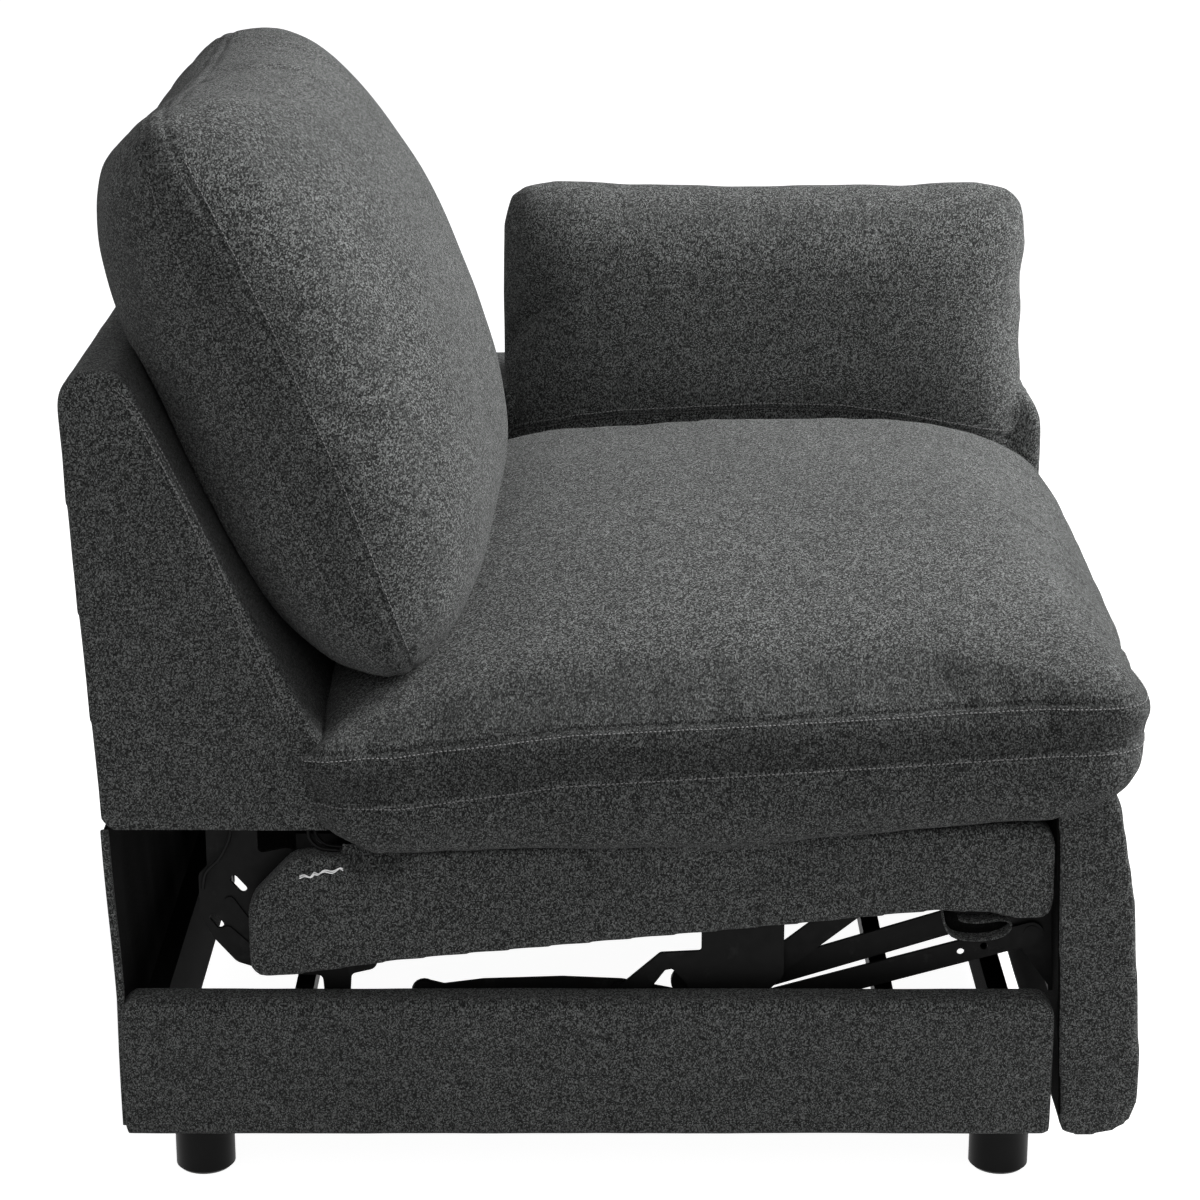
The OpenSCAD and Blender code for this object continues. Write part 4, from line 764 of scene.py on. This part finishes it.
# Seat cushion: boxed, its band between two seams, crowned above, its lower edge hung over the box
SEAT_BACK_U = -262
SEAT_FRONT_U = 526
UPPER_SEAM = ((-284, 459), (-38, 491), (239, 504), (521, 522))
LOWER_SEAM = ((-266, 411), (-39, 444), (240, 459), (518, 479))
UNDER_LINE = ((-262, 384), (-194, 362), (19, 358), (242, 371), (435, 393), (526, 425))
DECK_LINE = ((-262, 364), (441, 399), (526, 412))
# The filled corners stand a little proud of the sides
EAR_SHARE = 0.025


def along_line(line, u):
    return np.interp(u, [p[0] for p in line], [p[1] for p in line])


def seat_plan(inset, power, count=RING, draw=0):
    """A ring inset by that much, and drawn in further at the front and rear."""
    ring = power_ring(count, power)
    ring *= 1 + EAR_SHARE * np.abs(ring[:, :1] * ring[:, 1:]) ** 4
    half_l = (SEAT_FRONT_U - SEAT_BACK_U) / 2
    half_w = (SEAT_RIGHT - SEAT_LEFT) / 2
    mid_u = (SEAT_FRONT_U + SEAT_BACK_U) / 2
    return mid_u + ring[:, 0] * (half_l - inset - draw), SEAT_MIDDLE + ring[:, 1] * (half_w - inset)


def seat_ring(inset, power, height_line, lift, count=RING, draw=0):
    us, xs = seat_plan(inset, power, count, draw)
    return [at(u, x, z) for u, x, z in zip(us, xs, along_line(height_line, us) + lift)]


def seat_seam(tree, height_line, lift):
    outside = seat_ring(-120, 9, height_line, lift, SEAM_RING)
    inside = seat_ring(250, 9, height_line, lift, SEAM_RING)
    return even_line(aimed_line(tree, outside, inside), LINE_STEP)


CROWN = 142
CROWN_TOP_U = 150
CROWN_TOP_X = 60
NEAR_SHAPE = (2.0, 0.72)
FAR_SHAPE = (7.0, 0.4)
FRONT_SHAPE = (2.5, 0.5)
REAR_SHAPE = (3.0, 0.5)


def slope(values, top, low_edge, high_edge, low_shape, high_shape):
    """Height share of a dome that is 1 at its top and 0 at each edge."""
    share = np.where(values < top, (top - values) / (top - low_edge), (values - top) / (high_edge - top))
    share = np.clip(share, 0, 1)
    low = (1 - share ** low_shape[0]) ** low_shape[1]
    high = (1 - share ** high_shape[0]) ** high_shape[1]
    return np.where(values < top, low, high)


# The rear corner on the open side bulges round the back's side just above the upper seam
WRAP_U = -225
WRAP_X = -425
WRAP_RUN = 32
WRAP_RISE = 8
WRAP_HEIGHT = 34
WRAP_OUT = 12
WRAP_BACK = 9

# The cushion from below: inset, roundness, line of heights, lift over it, draw at the ends
SIDE_RINGS = (
    (18, 14, UNDER_LINE, 2, 14), (4, 14, UNDER_LINE, -4, 20), (-8, 16, UNDER_LINE, 3, 24),
    (-12, 16, UNDER_LINE, 22, 17), (-1, 16, LOWER_SEAM, -12, 5), (4, 16, LOWER_SEAM, 0, 0),
    (0, 16, LOWER_SEAM, 20, 0), (2, 16, UPPER_SEAM, -10, 4), (7, 15, UPPER_SEAM, 0, 9),
)
UNDERSIDE_SHARES = (0.25, 0.6, 0.86)
UNDERSIDE_HALF = 367
UNDERSIDE_LIFT = 13
CROWN_STEPS = 17
CROWN_INSET = 7
CROWN_HALF = 360
CROWN_DRAW = 9
seat_rings = [seat_ring(UNDERSIDE_HALF * (1 - share), 3 + 7 * share, DECK_LINE, UNDERSIDE_LIFT)
              for share in UNDERSIDE_SHARES]
for inset, power, line, lift, draw in SIDE_RINGS:
    seat_rings.append(seat_ring(inset, power, line, lift, draw=draw))
for step in range(1, CROWN_STEPS):
    share = 1 - step / CROWN_STEPS
    us, xs = seat_plan(CROWN_INSET + CROWN_HALF * (1 - share), 2.4 + 13.6 * share ** 2.5,
                       draw=CROWN_DRAW * share)
    rise = CROWN * (slope(us, CROWN_TOP_U, SEAT_BACK_U, SEAT_FRONT_U, REAR_SHAPE, FRONT_SHAPE)
                    * slope(xs, CROWN_TOP_X, SEAT_LEFT, SEAT_RIGHT, NEAR_SHAPE, FAR_SHAPE))
    seat_rings.append([at(u, x, z) for u, x, z in zip(us, xs, along_line(UPPER_SEAM, us) + rise)])
verts = [p for ring in seat_rings for p in ring]
cushion = new_piece("soft_seat_cushion", verts, lathe_faces(len(seat_rings), RING), FABRIC)
inflate(cushion, VOXEL, 0.013)
CUSHION_LUMPS = ((3.0, 0.2, 11), (1.0, 0.06, 12))
WORLD_AXES = ((0, -1, 0), (1, 0, 0), (0, 0, 1))
CUSHION_BOX = ((-293, -489, 355), (538, 271, 648))
fit_box(cushion, at(0, 0, 0), WORLD_AXES, *CUSHION_BOX)
back_tree = tree_of(back)
settle(cushion, back_tree, CLEAR)
settle(cushion, tree_of(seat_left), CLEAR)
settle(cushion, tree_of(footrest), FOOTREST_CLEAR)
subdivide(cushion)
points = read_points(cushion)
us = CROSS_LINE - points[:, 1] / MM
above = points[:, 2] / MM - along_line(UPPER_SEAM, us)
rear_shares = np.clip((WRAP_U - us) / WRAP_RUN, 0, 1)
side_shares = np.clip((WRAP_X - points[:, 0] / MM) / WRAP_RUN, 0, 1)
corner_shares = rear_shares * side_shares * np.exp(-((above - WRAP_RISE) / WRAP_HEIGHT) ** 2)
points[:, 0] -= WRAP_OUT * MM * corner_shares
points[:, 1] += WRAP_BACK * MM * corner_shares
write_points(cushion, points)
swell_lumps(cushion, CUSHION_LUMPS)
tree = tree_of(cushion)
seams = [seat_seam(tree, UPPER_SEAM, 0), seat_seam(tree, LOWER_SEAM, 0)]
refine(cushion, seams, SEAM_REACH)
crease(cushion, seams, *SEAT_CREASE)
# The material paints shade from these ways: a dark line along each seam, darker towards the seams on the
# crown and the lower panel, and darker over the band
points = read_points(cushion)
us = CROSS_LINE - points[:, 1] / MM
height = points[:, 2] / MM
over_lower = height - along_line(LOWER_SEAM, us)
under_upper = along_line(UPPER_SEAM, us) - height
mark_shade_ways(cushion, MM * np.minimum(over_lower, under_upper))
finish_cushion(cushion, "seat_cushion", SEAMED_SHADED)
seat_tree = tree_of(cushion)
STITCH_BACK = 5
stitches("seat_stitch_upper", seat_tree, seat_seam(seat_tree, UPPER_SEAM, -STITCH_BACK), "seat")
stitches("seat_stitch_lower", seat_tree, seat_seam(seat_tree, LOWER_SEAM, -STITCH_BACK), "seat")


# Back pillow: boxed, leaning on the back, its foot pinched on the seat
PILLOW_LEAN = math.radians(22.5)
PILLOW_MIDDLE = at(-268, SEAT_MIDDLE, 806)
PILLOW_AXES = (
    (0, math.sin(PILLOW_LEAN), math.cos(PILLOW_LEAN)),
    (1, 0, 0),
    (0, -math.cos(PILLOW_LEAN), math.sin(PILLOW_LEAN)),
)


def pillow_place(a, x, out):
    """Along the pillow, across it and out of it to the front."""
    return PILLOW_MIDDLE + Vector(np.array((a, x, out)) * MM @ np.array(PILLOW_AXES))


# The band and its two seams stand behind the pillow's middle plane and narrow towards their ends
BAND_MIDDLE = -33
BAND_HALF = 23
PILLOW_HALF = 284
PILLOW_HALF_W = 360


def band_out(side, along):
    """Where the band's edge runs, side 1 for the front seam and -1 for the rear one."""
    return BAND_MIDDLE + side * BAND_HALF * (1 - 0.3 * np.abs(along / PILLOW_HALF) ** 3)


def pillow_ring(inset, power, out, side=0.0, count=RING):
    made = []
    for a, x in power_ring(count, power):
        along = a * (PILLOW_HALF - inset)
        made.append(pillow_place(along, x * (PILLOW_HALF_W - inset), band_out(side, along) + out))
    return made


def pillow_seam(tree, side, lift=0.0):
    outside = pillow_ring(-160, 7, lift, side, SEAM_RING)
    inside = pillow_ring(200, 7, lift, side, SEAM_RING)
    return even_line(aimed_line(tree, outside, inside), LINE_STEP)


PILLOW_REAR = 100
PILLOW_FRONT = 124
PILLOW_STEPS = 15
PILLOW_BAND_RINGS = ((6, -1), (1, -0.5), (0, 0), (1, 0.5), (6, 1))


def pillow_dome(step, depth, side):
    """A ring of the dome over the front face, side 1, or over the rear one, side -1."""
    share = 1 - step / PILLOW_STEPS
    out = depth * (1 - share ** 2.2) ** 0.62
    return pillow_ring(6 + 278 * (1 - share), 2.4 + 5.6 * share ** 2, side * out, side * share ** 2)


pillow_rings = [pillow_dome(step, PILLOW_REAR, -1) for step in range(PILLOW_STEPS - 1, 0, -1)]
pillow_rings += [pillow_ring(inset, 8, 0, side) for inset, side in PILLOW_BAND_RINGS]
pillow_rings += [pillow_dome(step, PILLOW_FRONT, 1) for step in range(1, PILLOW_STEPS)]
verts = [p for ring in pillow_rings for p in ring]
pillow = new_piece("soft_back_pillow", verts, lathe_faces(len(pillow_rings), RING), FABRIC)
inflate(pillow, VOXEL, 0.022)
PILLOW_BOX = ((-288, -368, -182), (300, 364, 132))
fit_box(pillow, PILLOW_MIDDLE, PILLOW_AXES, *PILLOW_BOX)
settle(pillow, back_tree, CLEAR)
settle(pillow, seat_tree, CLEAR)
subdivide(pillow)
PILLOW_LUMPS = ((4.0, 0.18, 21), (1.4, 0.06, 22))
swell_lumps(pillow, PILLOW_LUMPS)
tree = tree_of(pillow)
seams = [pillow_seam(tree, 1), pillow_seam(tree, -1)]
# Folds at the top corner, and the tucks at the foot
FOLD_MARKS = (
    ((136, 151), (147, 148), (160, 141), (172, 136)),
    ((142, 162), (155, 155), (168, 147)),
    ((372, 662), (378, 652), (386, 645)),
    ((398, 668), (404, 658), (412, 652)),
)
folds = [seen(tree, marks) for marks in FOLD_MARKS]
folds = [even_line(fold, LINE_STEP, closed=False) for fold in folds if len(fold) > 1]
refine(pillow, seams + folds, SEAM_REACH)
crease(pillow, seams, *PILLOW_CREASE)
crease(pillow, folds, *FOLD_CREASE)
# The material paints shade from these ways: a dark line along each seam, and a darker band
own = to_frame(read_points(pillow), PILLOW_MIDDLE, PILLOW_AXES) / MM
over_rear = own[:, 2] - band_out(-1, own[:, 0])
under_front = band_out(1, own[:, 0]) - own[:, 2]
mark_shade_ways(pillow, MM * np.minimum(over_rear, under_front))
finish_cushion(pillow, "back_pillow", BOXED_SHADED)
tree = tree_of(pillow)
# Painted shade: the frame's front-facing faces are darkened towards the pillow, whose way is stored in the
# seam attribute
PILLOW_SHADE_REACH = 0.12
facing = read_normals(back) @ np.array(PILLOW_AXES)[2]
ways = []
for p, share in zip(read_points(back), np.clip((0.8 - facing) / 0.6, 0, 1)):
    near = tree.find_nearest(Vector(p), PILLOW_SHADE_REACH)[3] or PILLOW_SHADE_REACH
    ways.append(-SEAM_SHADE_FADE * min(1, near / PILLOW_SHADE_REACH + share))
mark_shade_ways(back, np.array(ways))
back.data.materials[0] = PILLOW_SHADED
STITCHED_HALF = 258
SIDE_X = 0.31
FINE_STITCH = 0.001
for edge, side in (("front", 1), ("rear", -1)):
    seam_line = pillow_seam(tree, side, side * STITCH_BACK)
    alongs = to_frame(np.array(seam_line), PILLOW_MIDDLE, PILLOW_AXES)[:, 0] / MM
    for hand, way in (("left", -1), ("right", 1)):
        run = [p for p, along in zip(seam_line, alongs)
               if abs(along) < STITCHED_HALF and way * (p.x - PILLOW_MIDDLE.x) > SIDE_X]
        run.sort(key=lambda p: p.z)
        stitches(f"pillow_stitch_{edge}_{hand}", tree, even_line(run, LINE_STEP, closed=False), "back",
                 closed=False, width=FINE_STITCH)


# Arm pillow: stood on the arm, its hem hanging inside it
ARM_LEAN = math.radians(7)
ARM_MIDDLE = at(192, 326, 716)
ARM_AXES = (
    (0, -1, 0),
    (math.sin(ARM_LEAN), 0, math.cos(ARM_LEAN)),
    (-math.cos(ARM_LEAN), 0, math.sin(ARM_LEAN)),
)


def arm_place(a, h, out):
    """Along the arm, up the pillow and out of it to the open side."""
    return ARM_MIDDLE + Vector(np.array((a, h, out)) * MM @ np.array(ARM_AXES))


ARM_HALF = 302
ARM_HALF_H = 160
ARM_EDGE = 14
ARM_REAR = 74
ARM_FRONT = 66
ARM_STEPS = 13
ARM_EDGE_RINGS = ((6, -ARM_EDGE), (0, 0), (6, ARM_EDGE))


def arm_ring(inset, power, out):
    return [arm_place(a * (ARM_HALF - inset), h * (ARM_HALF_H - inset), out)
            for a, h in power_ring(RING, power)]


def arm_dome(step, depth, side):
    share = 1 - step / ARM_STEPS
    out = ARM_EDGE + depth * (1 - share ** 3) ** 0.6
    return arm_ring(6 + 150 * (1 - share), 3 + 7 * share ** 2, side * out)


arm_rings = [arm_dome(step, ARM_REAR, -1) for step in range(ARM_STEPS - 1, 0, -1)]
arm_rings += [arm_ring(inset, 10, out) for inset, out in ARM_EDGE_RINGS]
arm_rings += [arm_dome(step, ARM_FRONT, 1) for step in range(1, ARM_STEPS)]
verts = [p for ring in arm_rings for p in ring]
arm_pillow = new_piece("soft_arm_pillow", verts, lathe_faces(len(arm_rings), RING), FABRIC)
inflate(arm_pillow, VOXEL, 0.012, calm=22)
ARM_BOX = ((-304, -168, -90), (306, 164, 84))
fit_box(arm_pillow, ARM_MIDDLE, ARM_AXES, *ARM_BOX)
settle(arm_pillow, tree_of(arm), CLEAR)
settle(arm_pillow, seat_tree, CLEAR)
subdivide(arm_pillow)
ARM_LUMPS = ((2.2, 0.15, 31), (0.7, 0.05, 32))
swell_lumps(arm_pillow, ARM_LUMPS)
# A hem follows the cushion's crown along the pillow's foot, and a fold runs in from the rear edge
HEM = ((514, 434), (530, 430), (575, 423), (622, 418), (703, 414), (761, 411), (841, 413), (900, 421),
       (960, 432), (1008, 438))
HEM_STITCH = 3
HEM_STEP = 5
TUCK_MARKS = ((510, 340), (524, 324), (546, 302))


def hem_line(tree, rise):
    """The pillow's foot along the crown, raised by that much in the frame."""
    return even_line(seen(tree, [(across, down - rise) for across, down in HEM]), LINE_STEP, closed=False)


tree = tree_of(arm_pillow)
hems = [hem_line(tree, 0)]
tucks = [even_line(seen(tree, TUCK_MARKS), LINE_STEP, closed=False)]
refine(arm_pillow, hems, SEAM_REACH)
crease(arm_pillow, hems, *HEM_CREASE)
crease(arm_pillow, tucks, *TUCK_CREASE)
finish_cushion(arm_pillow, "arm_pillow", FABRIC)
tree = tree_of(arm_pillow)
stitches("arm_stitch_low", tree, hem_line(tree, HEM_STITCH), "base", closed=False)
stitches("arm_stitch_high", tree, hem_line(tree, HEM_STITCH + HEM_STEP), "base", closed=False)


# Topstitching down the front edge of the back frame's open side
BACK_EDGE = ((104, 387), (124, 402), (138, 422), (160, 462), (180, 500), (200, 541), (225, 594), (250, 645),
             (268, 684), (285, 722))
BACK_ROWS = (0, 7)
for i, shift in enumerate(BACK_ROWS):
    run = seen(back_tree, [(across + shift, down) for across, down in BACK_EDGE])
    stitches(f"back_stitch_{i}", back_tree, even_line(run, LINE_STEP, closed=False), "back", closed=False)


# Sheets and straps
def sheet_mesh(name, rows, through, material):
    """A thin sheet from rows of points, its thickness given by one vector."""
    columns = len(rows[0])
    front = [p for row in rows for p in row]
    verts = front + [p + through for p in front]
    total = len(front)
    faces = []
    for j in range(len(rows) - 1):
        for i in range(columns - 1):
            a = j * columns + i
            faces.append((a, a + 1, a + columns + 1, a + columns))
            faces.append((a + total, a + columns + total, a + columns + 1 + total, a + 1 + total))
    edge = list(range(columns)) + [j * columns + columns - 1 for j in range(1, len(rows))]
    edge += range(total - 2, total - columns - 1, -1)
    edge += [j * columns for j in range(len(rows) - 2, 0, -1)]
    for a, b in zip(edge, edge[1:] + edge[:1]):
        faces.append((b, a, a + total, b + total))
    made = new_piece(name, verts, faces, material)
    shade_smooth(made)
    return made


def join_mesh(piece, verts, faces, material):
    """Adds closed faces to a piece, in their own material."""
    other = new_piece(piece.name + "_part", verts, faces, material)
    shade_smooth(other)
    piece.data.materials.append(material)
    mesh = bmesh.new()
    mesh.from_mesh(piece.data)
    first = len(mesh.faces)
    mesh.from_mesh(other.data)
    mesh.faces.ensure_lookup_table()
    for face in mesh.faces[first:]:
        face.material_index = len(piece.data.materials) - 1
    mesh.to_mesh(piece.data)
    mesh.free()
    bpy.data.objects.remove(other)


# Cloth hung from the back frame's rear edge to the base, its near edge bound in a strip of fabric
SKIRT_X = (-454, 264)
SKIRT_LINE = ((67, -476), (207, -476.5), (382, -484))
SKIRT_FOOT = SKIRT_LINE[0][0]
SKIRT_TOP = SKIRT_LINE[-1][0]
SKIRT_T = 1.2


def slack(x, z):
    """How far the cloth hangs out between its fixed edges, in soft waves."""
    loose = math.sin(math.pi * (z - SKIRT_FOOT) / (SKIRT_TOP - SKIRT_FOOT))
    return loose * (1.6 + 1.4 * math.sin(x * 0.031) + 0.8 * math.sin(x * 0.083 + z * 0.02))


skirt_rows = []
for z in np.linspace(SKIRT_FOOT, SKIRT_TOP, 26):
    u = np.interp(z, *zip(*SKIRT_LINE))
    skirt_rows.append([at(u - slack(x, z), x, z) for x in np.linspace(*SKIRT_X, 72)])
skirt = sheet_mesh("soft_rear_skirt", skirt_rows, at(SKIRT_T, 0, 0) - at(0, 0, 0), CLOTH)
BINDING_X = -456
BINDING_HALF = 4
BINDING_BACK = -1.5
BINDING_SIDES = 12
binding = []
for row in skirt_rows:
    centre = Vector((BINDING_X * MM, row[0].y + BINDING_BACK * MM, row[0].z))
    binding += [centre + Vector((a, b, 0)) * BINDING_HALF * MM for a, b in power_ring(BINDING_SIDES, 4)]
join_mesh(skirt, binding, lathe_faces(len(skirt_rows), BINDING_SIDES), FABRIC)
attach(skirt, "base")
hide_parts("rear_skirt")
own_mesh(skirt)

# Deck cloth on the springs
DECK_X = (-430, 240)
DECK_U = (-262, 436)
DECK_Z = (346, 381)
DECK_DIP = 1.5
deck_rows = []
for u in np.linspace(*DECK_U, 40):
    top = np.interp(u, DECK_U, DECK_Z)
    dip = DECK_DIP * math.sin(math.pi * (u - DECK_U[0]) / (DECK_U[1] - DECK_U[0]))
    deck_rows.append([at(u, x, top - dip * (1 - math.cos(x * 0.09))) for x in np.linspace(*DECK_X, 60)])
deck = sheet_mesh("soft_seat_deck", deck_rows, Vector((0, 0, -0.0012)), CLOTH)
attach(deck, "seat")
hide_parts("seat_deck")

# Tab under the cushion's rear corner, its foot rounded, with painted shade: a dark line just inside its rim,
# and painted cushion shadow over the rest
TAB_U = (-250, -193)
TAB_TOP = 372
TAB_FOOT = 343
TAB_ROUND = 17
TAB_RIM = 4
tab_rows = []
tab_ways = []
for level in np.linspace(0, 1, 26):
    row = []
    for u in np.linspace(*TAB_U, 52):
        side = abs(2 * (u - TAB_U[0]) / (TAB_U[1] - TAB_U[0]) - 1)
        foot = TAB_FOOT + TAB_ROUND * side ** 3.5
        z = TAB_TOP + (foot - TAB_TOP) * level
        row.append(at(u, -467 - 11 * level ** 1.4, z))
        tab_ways.append(MM * (min(u - TAB_U[0], TAB_U[1] - u, z - foot) - TAB_RIM))
    tab_rows.append(row)
tab = sheet_mesh("soft_cushion_tab", tab_rows, at(0, 2.4, 0) - at(0, 0, 0), SEAMED_SHADED)
# The ways to the rim give the painted shade line and the painted shadow inside it
mark_shade_ways(tab, np.array(tab_ways * 2))
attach(tab, "seat")
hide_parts("cushion_tab")

# Folded strap under the box's front corner
STRAP_X = (-456, -434)
STRAP_T = 2.2
STRAP_CUTS = 5
STRAP_LINE = ((337, 296), (338, 284), (342, 273), (350, 267), (366, 265), (384, 266), (398, 270), (406, 278),
              (404, 286), (394, 288), (380, 285), (364, 284), (352, 287))
strap_turns = []
for before, after in zip(STRAP_LINE[:1] + STRAP_LINE, STRAP_LINE[1:] + STRAP_LINE[-1:]):
    run = Vector((after[0] - before[0], after[1] - before[1])).normalized()
    strap_turns.append((-run.y * STRAP_T / 2, run.x * STRAP_T / 2))
outline = [(u + a, z + b) for (u, z), (a, b) in zip(STRAP_LINE, strap_turns)]
outline += [(u - a, z - b) for (u, z), (a, b) in reversed(list(zip(STRAP_LINE, strap_turns)))]
count = len(outline)
verts = [at(u, x, z) for x in np.linspace(*STRAP_X, STRAP_CUTS) for u, z in outline]
faces = [(j * count + i, j * count + (i + 1) % count, (j + 1) * count + (i + 1) % count, (j + 1) * count + i)
         for j in range(STRAP_CUTS - 1) for i in range(count)]
half = len(STRAP_LINE)
for base in (0, (STRAP_CUTS - 1) * count):
    for i in range(half - 1):
        quad = (base + i, base + i + 1, base + count - 2 - i, base + count - 1 - i)
        faces.append(quad if base else quad[::-1])
strap = new_piece("soft_front_flap", verts, faces, FABRIC)
subdivide(strap)
# Near-black cloth closes the fold on its inner side, as painted shade inside the fold
FOLD_SHADE_X = (-438, -436.5)
join_mesh(strap, [at(u, x, z) for x in FOLD_SHADE_X for u, z in STRAP_LINE], lathe_faces(2, half), CLOTH)
shade_smooth(strap)
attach(strap, "seat")
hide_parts("front_flap")

# Bent wire clip on the box's rear corner
CLIP_WIRE_D = 0.0018
CLIP_STEPS = 24
CLIP_START = (-293, -464.6, 336.5)
CLIP_RUN = 42
CLIP_CLIMB = 9.5
CLIP_STRANDS = {"wire_clip_upper": 1.2, "wire_clip_lower": -1.0}
clip_shares = np.linspace(0, 1, CLIP_STEPS + 1)
for name, lift in CLIP_STRANDS.items():
    clip_marks = []
    for share in clip_shares:
        wave = 1.3 * math.sin(23 * share) + lift * math.cos(9 * share)
        clip_marks.append(at(CLIP_START[0] + CLIP_RUN * share + 2.0 * math.sin(9 * share),
                             CLIP_START[1] + 0.5 * math.cos(14 * share),
                             CLIP_START[2] + CLIP_CLIMB * share + wave))
    strand = wire(name, clip_marks, CLIP_WIRE_D)
    strand.data.materials.append(ZINC)
    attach(strand, "seat")
    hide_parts("wire_clip")


# Floor and light
WHITE = 1.0
FLOOR_GLOW = 0.96
FLOOR_SHARE = 0.42
FLOOR_REACH = 16
FLOOR_Z = -0.0005
FLOOR_CORNERS = ((-1, -1), (1, -1), (1, 1), (-1, 1))
floor = new_piece("floor", [(x * FLOOR_REACH, y * FLOOR_REACH, FLOOR_Z) for x, y in FLOOR_CORNERS],
                  [(0, 1, 2, 3)], None)
floor_nodes = Nodes("floor")
tree_nodes = floor_nodes.tree
glow = floor_nodes.node("ShaderNodeEmission")
glow.inputs["Strength"].default_value = FLOOR_GLOW
lit = floor_nodes.node("ShaderNodeAddShader")
tree_nodes.links.new(glow.outputs[0], lit.inputs[0])
floor_nodes.shader.inputs["Base Color"].default_value = grey(FLOOR_SHARE)
floor_nodes.shader.inputs["Roughness"].default_value = 1.0
floor_nodes.shader.inputs["Specular IOR Level"].default_value = 0.0
tree_nodes.links.new(floor_nodes.shader.outputs[0], lit.inputs[1])
paths = floor_nodes.node("ShaderNodeLightPath")
direct = floor_nodes.maths("MAXIMUM", paths.outputs["Is Camera Ray"], paths.outputs["Is Glossy Ray"])
chosen = floor_nodes.node("ShaderNodeMixShader")
floor_nodes.join(direct, chosen.inputs[0])
tree_nodes.links.new(floor_nodes.shader.outputs[0], chosen.inputs[1])
tree_nodes.links.new(lit.outputs[0], chosen.inputs[2])
tree_nodes.links.new(chosen.outputs[0], tree_nodes.nodes["Material Output"].inputs["Surface"])
floor.data.materials.clear()
floor.data.materials.append(floor_nodes.material)

AMBIENT = 0.31
world = bpy.data.worlds.new("world")
scene.world = world
world.use_nodes = True
sky = world.node_tree
ambient = sky.nodes["Background"]
ambient.inputs["Strength"].default_value = AMBIENT
backdrop = sky.nodes.new("ShaderNodeBackground")
backdrop.inputs["Strength"].default_value = WHITE
ray = sky.nodes.new("ShaderNodeLightPath")
either = sky.nodes.new("ShaderNodeMath")
either.operation = "MAXIMUM"
sky.links.new(ray.outputs["Is Camera Ray"], either.inputs[0])
sky.links.new(ray.outputs["Is Glossy Ray"], either.inputs[1])
pick = sky.nodes.new("ShaderNodeMixShader")
sky.links.new(either.outputs[0], pick.inputs[0])
sky.links.new(ambient.outputs[0], pick.inputs[1])
sky.links.new(backdrop.outputs[0], pick.inputs[2])
sky.links.new(pick.outputs[0], sky.nodes["World Output"].inputs["Surface"])
for background in (ambient, backdrop):
    background.inputs["Color"].default_value = (1, 1, 1, 1)


def lamp(name, place, aim, size, power):
    light = bpy.data.lights.new(name, "AREA")
    light.shape = "SQUARE"
    light.size = size
    light.energy = power
    holder = bpy.data.objects.new(name, light)
    holder.location = place
    holder.rotation_euler = (Vector(aim) - Vector(place)).to_track_quat("-Z", "Y").to_euler()
    scene.collection.objects.link(holder)


# Place, aim and size in metres, and power in watts
LAMPS = {
    "key": ((0.45, -3.0, 3.2), (0, 0, 0.5), 2.2, 272),
    "fill": ((-3.3, 0.3, 2.4), (0, 0, 0.6), 1.8, 10),
}
for name, settings in LAMPS.items():
    lamp(name, *settings)
